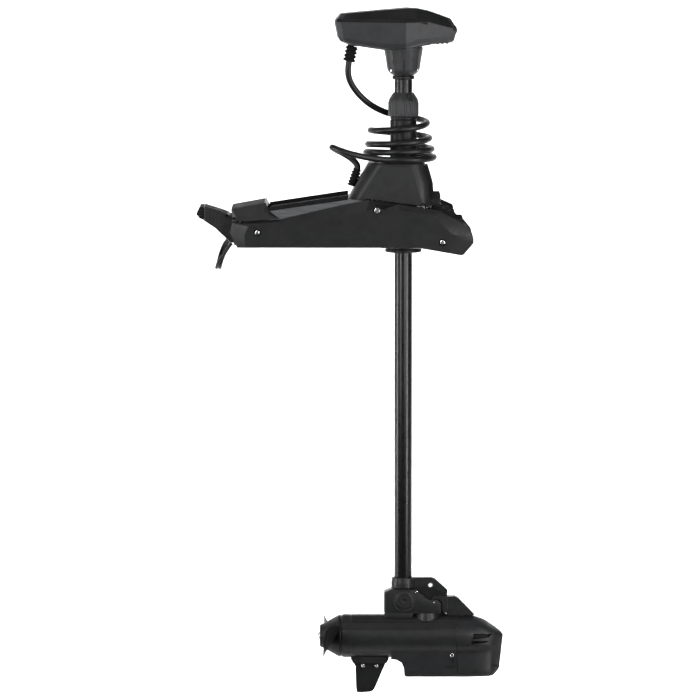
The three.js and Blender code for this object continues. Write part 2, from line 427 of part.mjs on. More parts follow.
// ---- propeller ----
const bladeRings = [[34, 46, 58, 32, 8], [58, 43, 66, 25, 6.5], [90, 36, 68, 15, 5], [120, 30.5, 63, 9, 3.8], [138, 28, 52, 6, 3], [PROP_TIP, 27, 34, 4, 2.2]];
const blade = (side) => {
  const rings = bladeRings.map(([y, x, chord, deg, t]) => {
    const a = (deg * Math.PI) / 180, ring = [];
    for (const [s, h] of [[-0.5, 0.12], [-0.3, 0.42], [0, 0.5], [0.3, 0.36], [0.5, 0.1], [0.3, -0.3], [0, -0.4], [-0.3, -0.34]]) {
      const along = s * chord, off = h * t;
      ring.push([x - side * along * Math.sin(a) + off * Math.cos(a), side * y, MOTOR_Z + along * Math.cos(a) + side * off * Math.sin(a)]);
    }
    return ring;
  });
  return loft(rings, "y");
};
const hub = spun("x", [[0, 17.6], [22, 17.6], [25, 20], [46, 62.4], [0, 62.4]], [0, MOTOR_Z], 36);
piece("propeller", "propeller", cut(join(hub, blade(-1), blade(1)), rod("x", 7.1, 44, 90, [0, MOTOR_Z], 16)), "plastic");

// ---- coiled control cable, from the head down round the steering tube to the tower ----
const coilPoint = (deg, r, z) => [COIL_X + r * Math.cos((deg * Math.PI) / 180), r * Math.sin((deg * Math.PI) / 180), z];
// Turns run clockwise seen from above, going down: 0 is the bow side, -90 the starboard side.
const turns = [[75, 61, 276], [40, 60, 271], [0, 60, 265.5], [-45, 60.5, 259], [-90, 61, 254], [-135, 62, 251], [-180, 63, 249.5], [-225, 64, 245], [-270, 65, 240], [-315, 65, 236],
  [-360, 65, 232.5], [-405, 66, 228], [-450, 67, 223.5], [-495, 68, 221.3], [-540, 68.5, 219.5], [-585, 69.5, 216], [-630, 70.5, 213], [-675, 70.5, 211],
  [-720, 70, 209], [-765, 71, 207.2], [-810, 72.5, 205.2], [-855, 73, 203.8], [-900, 72.5, 202.2], [-945, 72.5, 198.8], [-990, 73.5, 195.6], [-1035, 74, 193], [-1080, 74.5, 191.4]];
const turnPoints = turns.map((t) => coilPoint(...t));
const headRun = [[81.8, 0, 399.4], [80.4, 0.5, 388], [80.2, 3, 372], [84, 7, 356.5], [94, 13, 338.5], [110, 21, 319.5], [132, 31, 301.5], [160, 44, 287], [186, 56, 279.6]];
const tailRun = [coilPoint(-1112, 75, 189.4), coilPoint(-1143, 75.5, 188.8), coilPoint(-1170, 75.5, 188.6), [158, -69.5, 189.2], [124, -60, 193], [88, -48, 200],
  [62, -34, 207.5], [47, -18, 212.6], [46.5, -4, 211.5], [55, 3, 206], [69, 4, 199], [83, 0, 190.5], [94, -6, 181.5], [100, -10.6, 172.5], [99.7, -12, 164.6]];
const cableCurve = new THREE.CatmullRomCurve3([...headRun, ...turnPoints, ...tailRun].map((p) => new THREE.Vector3(...p)), false, "centripetal");
const cableKnots = headRun.length + turnPoints.length + tailRun.length - 1;
const firstTurn = headRun.length;
// The stretch from knot i to knot j, less a little at each end.
const stretch = (i, j, a, b, steps) => {
  const lengths = cableCurve.getLengths(4000), total = lengths[4000];
  const s0 = lengths[Math.round((4000 * i) / cableKnots)] + a, s1 = lengths[Math.round((4000 * j) / cableKnots)] - b;
  const pts = [];
  for (let k = 0; k <= 200; k++) pts.push(cableCurve.getPointAt((s0 + ((s1 - s0) * k) / 200) / total).toArray());
  return tube(pts, 2 * CABLE_R, 2 * CABLE_R, steps, 8);
};
piece("shaft", "coil_cable_upper", stretch(0, firstTurn + 10, 0.4, 0.35, 40), "cable");
piece("steering", "coil_cable_lower", stretch(firstTurn + 10, firstTurn + 26, 0.35, 0.2, 32), "cable");
piece("tower", "coil_cable_tail", stretch(firstTurn + 26, cableKnots, 0.2, 0.4, 24), "cable");

export default trollingMotor;
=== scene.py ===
import bpy, bmesh, math
from mathutils import Vector, Matrix, noise


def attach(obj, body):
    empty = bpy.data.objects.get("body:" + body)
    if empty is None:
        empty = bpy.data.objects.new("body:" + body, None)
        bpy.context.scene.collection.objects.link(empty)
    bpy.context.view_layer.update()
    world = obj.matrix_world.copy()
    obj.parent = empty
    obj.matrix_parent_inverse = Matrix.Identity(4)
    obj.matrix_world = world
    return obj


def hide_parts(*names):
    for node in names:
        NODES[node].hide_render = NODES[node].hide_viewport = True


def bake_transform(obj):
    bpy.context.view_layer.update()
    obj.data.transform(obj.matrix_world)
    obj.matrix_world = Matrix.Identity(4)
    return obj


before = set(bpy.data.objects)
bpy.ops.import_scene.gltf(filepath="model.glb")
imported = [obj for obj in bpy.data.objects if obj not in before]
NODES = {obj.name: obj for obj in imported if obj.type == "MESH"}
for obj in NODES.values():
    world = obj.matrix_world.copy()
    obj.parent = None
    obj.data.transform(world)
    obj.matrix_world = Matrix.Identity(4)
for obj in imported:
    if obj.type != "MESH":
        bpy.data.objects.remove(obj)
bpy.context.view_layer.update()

DX = 90.0                     # the frame's datum shift, mm
SX = 200.0                    # shaft axis before the shift
MZ = -857.4                   # motor axis
MR = 47.6
scene = bpy.context.scene
coll = scene.collection


def P(x, y, z):
    return Vector(((x + DX) / 1000.0, y / 1000.0, z / 1000.0))


# ---------------------------------------------------------------- meshes
def make(name, verts, faces):
    me = bpy.data.meshes.new(name)
    me.from_pydata([tuple(v) for v in verts], [], faces)
    me.validate()
    ob = bpy.data.objects.new(name, me)
    coll.objects.link(ob)
    bm = bmesh.new()
    bm.from_mesh(me)
    bmesh.ops.remove_doubles(bm, verts=bm.verts, dist=1e-6)
    bmesh.ops.recalc_face_normals(bm, faces=bm.faces)
    bm.to_mesh(me)
    bm.free()
    return ob


def shade(ob, angle=32.0):
    me = ob.data
    bm = bmesh.new()
    bm.from_mesh(me)
    lim = math.radians(angle)
    for f in bm.faces:
        f.smooth = True
    for e in bm.edges:
        e.smooth = not (len(e.link_faces) == 2 and e.calc_face_angle(0.0) > lim)
    bm.to_mesh(me)
    bm.free()
    return ob


def apply(ob):
    dg = bpy.context.evaluated_depsgraph_get()
    me = bpy.data.meshes.new_from_object(ob.evaluated_get(dg))
    ob.modifiers.clear()
    old = ob.data
    ob.data = me
    bpy.data.meshes.remove(old)
    return ob


def bevel(ob, width, segments=3, angle=30.0, sharp=34.0, clamp=True):
    m = ob.modifiers.new("bevel", "BEVEL")
    m.width = width / 1000.0
    m.segments = segments
    m.limit_method = "ANGLE"
    m.angle_limit = math.radians(angle)
    m.use_clamp_overlap = clamp
    m.harden_normals = False
    apply(ob)
    ob["wn"] = True
    return shade(ob, sharp)


def boolean(ob, other, op="DIFFERENCE"):
    m = ob.modifiers.new("b", "BOOLEAN")
    m.operation = op
    m.solver = "EXACT"
    m.object = other
    apply(ob)
    bpy.data.objects.remove(other)
    return ob


def lathe(name, prof, axis="z", centre=(SX, 0), n=96, angle=30.0, arc=None):
    """prof: list of (radius, height); closed on itself when it doesn't touch the axis."""
    verts, faces = [], []
    closed = prof[0][0] > 1e-6 or prof[-1][0] > 1e-6
    k = len(prof)
    for i in range(n):
        a = 2 * math.pi * i / n
        for r, h in prof:
            rr = r(a) if callable(r) else r
            u, v = rr * math.cos(a), rr * math.sin(a)
            if axis == "z":
                verts.append(P(centre[0] + u, centre[1] + v, h))
            elif axis == "x":
                verts.append(P(h, centre[0] + u, centre[1] + v))
            else:
                verts.append(P(centre[0] + u, h, centre[1] + v))
    for i in range(n):
        j = (i + 1) % n
        for q in range(k if closed else k - 1):
            a0, a1 = i * k + q, i * k + (q + 1) % k
            b0, b1 = j * k + q, j * k + (q + 1) % k
            faces.append((a0, b0, b1, a1))
    ob = make(name, verts, faces)
    bm = bmesh.new()
    bm.from_mesh(ob.data)
    bmesh.ops.dissolve_degenerate(bm, dist=1e-7, edges=bm.edges)
    bmesh.ops.recalc_face_normals(bm, faces=bm.faces)
    bm.to_mesh(ob.data)
    bm.free()
    return shade(ob, angle)


def rounded(prof, r=0.8, seg=3):
    """Rounds the corners of an open or closed profile by r mm."""
    out = []
    n = len(prof)
    for i, p in enumerate(prof):
        if i in (0, n - 1) and prof[0][0] < 1e-6:
            out.append(p)
            continue
        a, b = Vector(prof[i - 1]), Vector(prof[(i + 1) % n])
        c = Vector(p)
        d1, d2 = (a - c), (b - c)
        if d1.length < 1e-6 or d2.length < 1e-6:
            out.append(p)
            continue
        rr = min(r, d1.length * 0.45, d2.length * 0.45)
        s, e = c + d1.normalized() * rr, c + d2.normalized() * rr
        for t in range(seg + 1):
            u = t / seg
            out.append(tuple((s * (1 - u) ** 2) + (c * 2 * u * (1 - u)) + (e * u * u)))
    return out


def slab(name, line, y0, y1, w=1.0, seg=3, sharp=34.0):
    """Outline in X and Z, given thickness along Y, all edges rounded by w mm."""
    n = len(line)
    verts = [P(x, y0, z) for x, z in line] + [P(x, y1, z) for x, z in line]
    faces = [tuple(range(n)), tuple(reversed(range(n, 2 * n)))]
    faces += [(i, i + n, (i + 1) % n + n, (i + 1) % n) for i in range(n)]
    ob = make(name, verts, faces)
    return bevel(ob, w, seg, sharp=sharp) if w else shade(ob)


def prism(name, line, z0, z1, w=1.0, seg=3):
    n = len(line)
    verts = [P(x, y, z0) for x, y in line] + [P(x, y, z1) for x, y in line]
    faces = [tuple(range(n)), tuple(reversed(range(n, 2 * n)))]
    faces += [(i, i + n, (i + 1) % n + n, (i + 1) % n) for i in range(n)]
    ob = make(name, verts, faces)
    return bevel(ob, w, seg) if w else shade(ob)


def loft(name, rings, w=0.0, seg=3, angle=30.0, sharp=34.0, caps=True):
    n = len(rings[0])
    verts = [P(*p) for r in rings for p in r]
    faces = []
    for s in range(len(rings) - 1):
        for i in range(n):
            j = (i + 1) % n
            faces.append((s * n + i, s * n + j, (s + 1) * n + j, (s + 1) * n + i))
    if caps:
        faces.append(tuple(reversed(range(n))))
        faces.append(tuple(range((len(rings) - 1) * n, len(rings) * n)))
    ob = make(name, verts, faces)
    return bevel(ob, w, seg, angle, sharp) if w else shade(ob, sharp)


def catmull(points, per=12):
    pts = [Vector(p) for p in points]
    pts = [pts[0] * 2 - pts[1]] + pts + [pts[-1] * 2 - pts[-2]]
    out = []
    for i in range(1, len(pts) - 2):
        p0, p1, p2, p3 = pts[i - 1], pts[i], pts[i + 1], pts[i + 2]
        t0 = 0.0
        t1 = t0 + max((p1 - p0).length, 1e-6) ** 0.5
        t2 = t1 + max((p2 - p1).length, 1e-6) ** 0.5
        t3 = t2 + max((p3 - p2).length, 1e-6) ** 0.5
        for k in range(per):
            t = t1 + (t2 - t1) * k / per
            a1 = p0 * ((t1 - t) / (t1 - t0)) + p1 * ((t - t0) / (t1 - t0))
            a2 = p1 * ((t2 - t) / (t2 - t1)) + p2 * ((t - t1) / (t2 - t1))
            a3 = p2 * ((t3 - t) / (t3 - t2)) + p3 * ((t - t2) / (t3 - t2))
            b1 = a1 * ((t2 - t) / (t2 - t0)) + a2 * ((t - t0) / (t2 - t0))
            b2 = a2 * ((t3 - t) / (t3 - t1)) + a3 * ((t - t1) / (t3 - t1))
            out.append(b1 * ((t2 - t) / (t2 - t1)) + b2 * ((t - t1) / (t2 - t1)))
    out.append(pts[-2])
    return out


def length_of(pts):
    return sum((b - a).length for a, b in zip(pts, pts[1:]))


def resample(pts, step):
    total = length_of(pts)
    n = max(2, int(round(total / step)))
    out, acc, i = [pts[0].copy()], 0.0, 0
    for k in range(1, n):
        want = total * k / n
        while acc + (pts[i + 1] - pts[i]).length < want:
            acc += (pts[i + 1] - pts[i]).length
            i += 1
        f = (want - acc) / max((pts[i + 1] - pts[i]).length, 1e-9)
        out.append(pts[i].lerp(pts[i + 1], f))
    out.append(pts[-1].copy())
    return out


def sweep(name, pts, section, side=None, taper=None):
    """Tube through pts (mm, before the shift) with a closed section of (a, b); side gives the a direction at each point."""
    n, k = len(pts), len(section)
    verts, faces = [], []
    tang = [(pts[min(i + 1, n - 1)] - pts[max(i - 1, 0)]).normalized() for i in range(n)]
    u = None
    for i in range(n):
        t = tang[i]
        if side is not None:
            s = side(i / (n - 1), t)
            u = (s - t * s.dot(t)).normalized()
        elif u is None:
            g = Vector((0, 0, 1)) if abs(t.z) < 0.9 else Vector((1, 0, 0))
            u = (g - t * g.dot(t)).normalized()
        else:
            u = (u - t * u.dot(t)).normalized()
        v = t.cross(u)
        f = taper(i / (n - 1)) if taper else 1.0
        for a, b in section:
            verts.append(P(*(pts[i] + u * (a * f) + v * (b * f))))
    for i in range(n - 1):
        for j in range(k):
            q = (j + 1) % k
            faces.append((i * k + j, i * k + q, (i + 1) * k + q, (i + 1) * k + j))
    faces.append(tuple(reversed(range(k))))
    faces.append(tuple(range((n - 1) * k, n * k)))
    return shade(make(name, verts, faces), 50)


def round_section(r, k=16):
    return [(r * math.cos(2 * math.pi * i / k), r * math.sin(2 * math.pi * i / k)) for i in range(k)]


def join(name, obs):
    dst = obs[0]
    bm = bmesh.new()
    for o in obs:
        bm.from_mesh(o.data)
    me = bpy.data.meshes.new(name)
    bm.to_mesh(me)
    bm.free()
    for o in obs:
        bpy.data.objects.remove(o)
    ob = bpy.data.objects.new(name, me)
    coll.objects.link(ob)
    return ob


# ---------------------------------------------------------------- materials
def nodes_of(name):
    m = bpy.data.materials.new(name)
    m.use_nodes = True
    nt = m.node_tree
    b = nt.nodes["Principled BSDF"]
    return m, nt, b


def add(nt, kind, **kw):
    nd = nt.nodes.new(kind)
    for k, v in kw.items():
        if k in nd.inputs.keys():
            nd.inputs[k].default_value = v
        else:
            setattr(nd, k, v)
    return nd


def surface(name, dark, light, rough=(0.45, 0.6), metallic=0.0, grain=1600.0, grain_mm=0.03, mottle=28.0,
            spec=0.5, coat=0.0, streak=None, edge=0.0, spots=0.0, coat_rough=0.2, wave=None):
    """A moulded, painted or machined surface: mottled colour, grain bump, roughness that varies, and edges lightened
    partly as wear and partly as a painted highlight on the chamfers.
    """
    m, nt, b = nodes_of(name)
    L = nt.links
    tc = add(nt, "ShaderNodeTexCoord")
    src = tc.outputs["Object"]
    mp = add(nt, "ShaderNodeMapping")
    if streak:
        mp.inputs["Scale"].default_value = streak
    L.new(src, mp.inputs["Vector"])
    n1 = add(nt, "ShaderNodeTexNoise", Scale=mottle, Detail=6.0, Roughness=0.6)
    L.new(mp.outputs["Vector"], n1.inputs["Vector"])
    ramp = add(nt, "ShaderNodeValToRGB")
    ramp.color_ramp.elements[0].position = 0.36
    ramp.color_ramp.elements[1].position = 0.66
    ramp.color_ramp.elements[0].color = (*dark, 1)
    ramp.color_ramp.elements[1].color = (*light, 1)
    L.new(n1.outputs["Fac"], ramp.inputs["Fac"])
    col = ramp.outputs["Color"]
    n2 = add(nt, "ShaderNodeTexNoise", Scale=grain, Detail=3.0, Roughness=0.55)
    L.new(src, n2.inputs["Vector"])
    if spots:
        n4 = add(nt, "ShaderNodeTexNoise", Scale=grain * 0.35, Detail=2.0)
        L.new(src, n4.inputs["Vector"])
        r4 = add(nt, "ShaderNodeMapRange")
        r4.inputs["From Min"].default_value = 0.62
        r4.inputs["From Max"].default_value = 0.72
        r4.inputs["To Max"].default_value = spots
        L.new(n4.outputs["Fac"], r4.inputs["Value"])
        mx = add(nt, "ShaderNodeMix", data_type="RGBA")
        L.new(r4.outputs["Result"], mx.inputs["Factor"])
        L.new(col, mx.inputs[6])
        mx.inputs[7].default_value = (*[min(1, c * 2.2 + 0.02) for c in light], 1)
        col = mx.outputs[2]
    # edge mask: lightens the rounded edges, partly wear and partly a painted highlight standing in for light caught on
    # the chamfers
    if edge:
        geo = add(nt, "ShaderNodeNewGeometry")
        bv = add(nt, "ShaderNodeBevel", samples=4)
        bv.inputs["Radius"].default_value = 0.0011
        dot = add(nt, "ShaderNodeVectorMath", operation="DOT_PRODUCT")
        L.new(geo.outputs["Normal"], dot.inputs[0])
        L.new(bv.outputs["Normal"], dot.inputs[1])
        er = add(nt, "ShaderNodeMapRange")
        er.inputs["From Min"].default_value = 0.995
        er.inputs["From Max"].default_value = 0.93
        er.inputs["To Max"].default_value = edge
        L.new(dot.outputs["Value"], er.inputs["Value"])
        en = add(nt, "ShaderNodeMath", operation="MULTIPLY")
        L.new(er.outputs["Result"], en.inputs[0])
        L.new(n1.outputs["Fac"], en.inputs[1])
        mx2 = add(nt, "ShaderNodeMix", data_type="RGBA")
        L.new(en.outputs["Value"], mx2.inputs["Factor"])
        L.new(col, mx2.inputs[6])
        mx2.inputs[7].default_value = (*[min(1, c * 2.6 + 0.03) for c in light], 1)
        col = mx2.outputs[2]
    L.new(col, b.inputs["Base Color"])
    rr = add(nt, "ShaderNodeMapRange")
    rr.inputs["From Min"].default_value = 0.3
    rr.inputs["From Max"].default_value = 0.7
    rr.inputs["To Min"].default_value = rough[0]
    rr.inputs["To Max"].default_value = rough[1]
    n3 = add(nt, "ShaderNodeTexNoise", Scale=mottle * 4.1, Detail=4.0)
    L.new(mp.outputs["Vector"], n3.inputs["Vector"])
    L.new(n3.outputs["Fac"], rr.inputs["Value"])
    L.new(rr.outputs["Result"], b.inputs["Roughness"])
    bump = add(nt, "ShaderNodeBump", Strength=0.55, Distance=grain_mm / 1000.0)
    L.new(n2.outputs["Fac"], bump.inputs["Height"])
    last = bump
    if wave:
        wv = add(nt, "ShaderNodeTexWave", Scale=wave[0], Distortion=wave[1])
        wv.bands_direction = wave[2]
        L.new(src, wv.inputs["Vector"])
        b2 = add(nt, "ShaderNodeBump", Strength=0.5, Distance=wave[3] / 1000.0)
        L.new(wv.outputs["Fac"], b2.inputs["Height"])
        L.new(bump.outputs["Normal"], b2.inputs["Normal"])
        last = b2
    L.new(last.outputs["Normal"], b.inputs["Normal"])
    b.inputs["Metallic"].default_value = metallic
    b.inputs["Specular IOR Level"].default_value = spec
    b.inputs["Coat Weight"].default_value = coat
    b.inputs["Coat Roughness"].default_value = coat_rough
    return m


PLASTIC = surface("cover_plastic", (0.0085, 0.0088, 0.0094), (0.0125, 0.0128, 0.0136), (0.36, 0.47), grain=1500, grain_mm=0.045, edge=0.35, spots=0.10, spec=0.30)
PLASTIC2 = surface("tower_plastic", (0.0125, 0.0128, 0.0136), (0.0175, 0.0179, 0.0190), (0.38, 0.49), grain=1700, grain_mm=0.035, edge=0.35, spots=0.08, spec=0.34)
DARK = surface("dark_plastic", (0.0032, 0.0034, 0.0037), (0.0056, 0.0058, 0.0063), (0.38, 0.52), grain=1500, grain_mm=0.03, edge=0.3, spec=0.30)
RUBBER = surface("black_rubber", (0.0025, 0.0025, 0.0026), (0.0050, 0.0050, 0.0052), (0.62, 0.8), grain=900, grain_mm=0.05, spec=0.18, spots=0.06)
SHAFT = surface("shaft_composite", (0.0035, 0.0037, 0.0042), (0.0060, 0.0062, 0.0070), (0.26, 0.34), grain=700, grain_mm=0.008, mottle=40, streak=(1, 1, 0.3), spec=0.5, coat=0.0)
PAINT = surface("motor_powder_coat", (0.0095, 0.0098, 0.0106), (0.0135, 0.0139, 0.0149), (0.36, 0.48), grain=1100, grain_mm=0.05, edge=0.35, spots=0.08, coat=0.05, spec=0.32)
SONAR = surface("sonar_housing", (0.0098, 0.0102, 0.0110), (0.0140, 0.0145, 0.0156), (0.38, 0.50), grain=1900, grain_mm=0.03, edge=0.3, spots=0.06, spec=0.32)
HEADM = surface("head_plastic", (0.0260, 0.0267, 0.0284), (0.0350, 0.0358, 0.0380), (0.38, 0.48), grain=1600, grain_mm=0.045, edge=0.3, spots=0.08, spec=0.32)
JACKET = surface("cable_jacket", (0.0050, 0.0052, 0.0056), (0.0085, 0.0088, 0.0094), (0.32, 0.44), grain=900, grain_mm=0.03, mottle=70, spec=0.36)
STEEL = surface("stainless_steel", (0.76, 0.77, 0.79), (0.93, 0.93, 0.94), (0.16, 0.3), metallic=1.0, grain=2500, grain_mm=0.01, mottle=200, streak=(1, 1, 6))
ALLOY = surface("anodised_alloy", (0.16, 0.165, 0.17), (0.21, 0.215, 0.22), (0.34, 0.46), metallic=1.0, grain=2200, grain_mm=0.012, mottle=90, streak=(0.2, 3, 3), edge=0.3)
CORE = surface("laminated_core", (0.20, 0.19, 0.18), (0.30, 0.29, 0.28), (0.4, 0.55), metallic=0.9, grain=1200, grain_mm=0.02)
COPPER = surface("tinned_copper", (0.50, 0.27, 0.17), (0.68, 0.42, 0.30), (0.25, 0.4), metallic=1.0, grain=2000, grain_mm=0.01, mottle=300)
BOARD = surface("solder_mask", (0.012, 0.07, 0.03), (0.02, 0.10, 0.045), (0.3, 0.45), grain=1500, grain_mm=0.01, mottle=160)
RED = surface("red_sleeve", (0.30, 0.02, 0.015), (0.42, 0.03, 0.02), (0.45, 0.6), grain=1200, grain_mm=0.02)
# painted shade: near-black fill for narrow slots and seams, standing in for the shadow inside them
GROOVE_SHADE = surface("groove_shadow", (0.006, 0.006, 0.007), (0.010, 0.010, 0.011), (0.6, 0.8), grain=900, grain_mm=0.02)


def finish(ob, mat, body, *nodes):
    if ob.get("wn"):
        w = ob.modifiers.new("weighted", "WEIGHTED_NORMAL")
        w.keep_sharp = True
        w.weight = 60
    ob.data.materials.clear()
    ob.data.materials.append(mat)
    if nodes:
        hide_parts(*nodes)
    if body:
        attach(ob, body)
    return ob


def keep(node, mat, width=0.0, seg=2, angle=30):
    """A CAD node that stays, with its edges rounded and its own finish."""
    o = NODES[node]
    o.data.materials.clear()
    o.data.materials.append(mat)
    for p in o.data.polygons:
        p.use_smooth = False
    if width:
        w = o.modifiers.new("weld", "WELD")
        w.merge_threshold = 1e-5
        b = o.modifiers.new("edges", "BEVEL")
        b.width = width / 1000.0
        b.segments = seg
        b.limit_method = "ANGLE"
        b.angle_limit = math.radians(angle)
    return o


# ---------------------------------------------------------------- camera, light, floor
EL = math.radians(5.0)
aim = Vector((0.174, 0.0, -0.2300))
dist = 13.0
cam_data = bpy.data.cameras.new("camera")
cam = bpy.data.objects.new("camera", cam_data)
coll.objects.link(cam)
cam.location = aim + Vector((0, -math.cos(EL), math.sin(EL))) * dist
cam.rotation_euler = (math.pi / 2 - EL, 0, 0)
cam_data.sensor_width = 36
cam_data.lens = 36 * dist / (700 * 0.00218)
cam_data.clip_end = 120
scene.camera = cam
scene.view_settings.view_transform = "Standard"
scene.view_settings.look = "None"


def area(name, loc, size, power, target=(0.17, 0, -0.2)):
    d = bpy.data.lights.new(name, "AREA")
    d.shape = "RECTANGLE"
    d.size, d.size_y = size
    d.energy = power
    o = bpy.data.objects.new(name, d)
    o.location = loc
    o.rotation_euler = (Vector(target) - Vector(loc)).to_track_quat("-Z", "Y").to_euler()
    coll.objects.link(o)
    return o


area("strip_left", (-3.1, -0.35, -0.2), (0.42, 2.7), 66, (0.2, 0, -0.2))
area("strip_right", (2.5, -1.75, -0.2), (0.38, 2.7), 52, (0.2, 0, -0.2))
area("front_left", (-2.0, -3.4, 0.25), (0.42, 1.1), 48, (0.1, 0, 0.25))
area("front_right", (1.75, -3.6, 0.25), (0.36, 1.1), 36, (0.3, 0, 0.25))
area("key_front", (-1.6, -3.9, 2.2), (1.0, 1.2), 46)
area("top", (0.1, -0.5, 3.3), (2.6, 1.6), 14)
area("backdrop_left", (-5.0, 5.5, 4.0), (3.0, 3.0), 1300, (-1.0, 12.5, -1.2))
area("backdrop_right", (5.0, 5.5, 4.0), (3.0, 3.0), 1300, (1.0, 12.5, -1.2))
world = bpy.data.worlds.new("studio")
scene.world = world
world.use_nodes = True
wn = world.node_tree
wtc = wn.nodes.new("ShaderNodeTexCoord")
wsp = wn.nodes.new("ShaderNodeSeparateXYZ")
wrp = wn.nodes.new("ShaderNodeValToRGB")
wrp.color_ramp.elements[0].position = 0.40
wrp.color_ramp.elements[0].color = (0.035, 0.035, 0.036, 1)
wrp.color_ramp.elements[1].position = 0.72
wrp.color_ramp.elements[1].color = (0.22, 0.22, 0.225, 1)
wmr = wn.nodes.new("ShaderNodeMapRange")
wmr.inputs["From Min"].default_value = -1.0
wn.links.new(wtc.outputs["Generated"], wsp.inputs[0])
wn.links.new(wsp.outputs["Z"], wmr.inputs["Value"])
wn.links.new(wmr.outputs["Result"], wrp.inputs["Fac"])
wn.links.new(wrp.outputs["Color"], wn.nodes["Background"].inputs["Color"])
wn.nodes["Background"].inputs["Strength"].default_value = 0.5

fl = []
FLOOR_Z = -1.75
prof = [(-0.7, 0.0), (12.0, 0.0)] + [(12.0 + 2.5 * math.sin(a), 2.5 - 2.5 * math.cos(a)) for a in [math.pi / 2 * i / 12 for i in range(1, 13)]] + [(14.5, 9.0)]
fv = [Vector((x, y, FLOOR_Z + z)) for y, z in prof for x in (-14.0, 14.0)]
ff = [(2 * i, 2 * i + 1, 2 * i + 3, 2 * i + 2) for i in range(len(prof) - 1)]
floor = make("studio_floor", fv, ff)
shade(floor, 60)
fm, fnt, fb = nodes_of("pale_floor")
ftc = add(fnt, "ShaderNodeTexCoord")
fno = add(fnt, "ShaderNodeTexNoise", Scale=3.0, Detail=3.0)
frm = add(fnt, "ShaderNodeValToRGB")
frm.color_ramp.elements[0].color = (0.90, 0.90, 0.90, 1)
frm.color_ramp.elements[1].color = (0.93, 0.93, 0.93, 1)
fnt.links.new(ftc.outputs["Object"], fno.inputs["Vector"])
fnt.links.new(fno.outputs["Fac"], frm.inputs["Fac"])
fnt.links.new(frm.outputs["Color"], fb.inputs["Base Color"])
fb.inputs["Roughness"].default_value = 0.9
floor.data.materials.append(fm)

# ---------------------------------------------------------------- cords
def coil(deg, r, z):
    a = math.radians(deg)
    return (191.5 + r * math.cos(a), r * math.sin(a), z)


HEAD_RUN = [(81.8, 0, 399.4), (80.4, .5, 388), (80.2, 3, 372), (84, 7, 356.5), (94, 13, 338.5), (110, 21, 319.5), (132, 31, 301.5), (160, 44, 287), (186, 56, 279.6)]
TURNS = [(75, 61, 276), (40, 60, 271), (0, 60, 265.5), (-45, 60.5, 259), (-90, 61, 254), (-135, 62, 251), (-180, 63, 249.5), (-225, 64, 245), (-270, 65, 240),
         (-315, 65, 236), (-360, 65, 232.5), (-405, 66, 228), (-450, 67, 223.5), (-495, 68, 221.3), (-540, 68.5, 219.5), (-585, 69.5, 216), (-630, 70.5, 213),
         (-675, 70.5, 211), (-720, 70, 209), (-765, 71, 207.2), (-810, 72.5, 205.2), (-855, 73, 203.8), (-900, 72.5, 202.2), (-945, 72.5, 198.8),
         (-990, 73.5, 195.6), (-1035, 74, 193), (-1080, 74.5, 191.4)]
TAIL_RUN = [coil(-1112, 75, 189.4), coil(-1143, 75.5, 188.8), coil(-1170, 75.5, 188.6), (158, -69.5, 189.2), (124, -60, 193), (88, -48, 200), (62, -34, 207.5),
            (47, -18, 212.6), (46.5, -4, 211.5), (55, 3, 206), (69, 4, 199), (83, 0, 190.5), (94, -6, 181.5), (100, -10.6, 172.5), (99.7, -12, 164.6)]
whole = HEAD_RUN + [coil(*t) for t in TURNS] + TAIL_RUN
curve = catmull(whole, 16)
i1 = (len(HEAD_RUN) + 10) * 16
i2 = (len(HEAD_RUN) + 26) * 16
RC = 7.0


def cable_mesh(name, pts, r=RC):
    pts = resample(pts, 2.6)
    ob = sweep(name, pts, round_section(r, 20))
    return ob, pts


def metres(p):
    return tuple(P(*p))


def thin(pts, n=60):
    step = max(1, len(pts) // n)
    out = pts[::step]
    if out[-1] is not pts[-1]:
        out.append(pts[-1])
    return [metres(p) for p in out]


upper, upts = cable_mesh("control_cable_upper", curve[:i1 + 1])
lower, lpts = cable_mesh("control_cable_lower", curve[i1:i2 + 1])
tail, tpts = cable_mesh("control_cable_tail", curve[i2:])
finish(upper, JACKET, None, "coil_cable_upper")
finish(lower, JACKET, None, "coil_cable_lower")
finish(tail, JACKET, "tower", "coil_cable_tail")
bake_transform(upper)
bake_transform(lower)
thin(upts)
thin(lpts)
thin(list(reversed(tpts)))

# power lead: two strands moulded side by side, from the gland to a coil and two ring terminals
RUN = [(-172, -76, 8.5), (-178, -76, 1), (-185, -76, -10), (-192, -74.5, -21), (-198, -68, -33), (-201, -56, -42.5), (-202, -38, -47.5), (-201.5, -18, -46.5),
       (-200, 4, -40), (-198, 26, -30.5), (-195, 48, -20), (-191, 70, -10), (-186.5, 92, -1.5), (-181.5, 114, 3.8), (-177, 138, 5.6), (-174.5, 160, 7.4)]
CX, CY = -80.0, 195.0


def ring_pt(deg, r, z):
    a = math.radians(deg)
    return (CX + r * math.cos(a), CY + r * math.sin(a), z)


RING = [(162, 84, 8.2), (140, 78, 8.0), (112, 77, 8.0), (84, 77, 8.0), (56, 77, 8.0), (28, 77, 8.2), (2, 76.5, 8.4)]
END = [(-2.2, 176, 7.8), (-1.6, 160, 7.0)]
POWER = RUN + [ring_pt(*t) for t in RING] + END
pcurve = resample(catmull(POWER, 14), 2.6)


def twin(strand):
    """One strand of the pair, 7.2 mm across, offset 3.6 mm to its side of the middle."""
    out = []
    for i in range(20):
        a = 2 * math.pi * i / 20
        out.append((strand * 3.45 + 3.65 * math.cos(a), 3.65 * math.sin(a)))
    return out


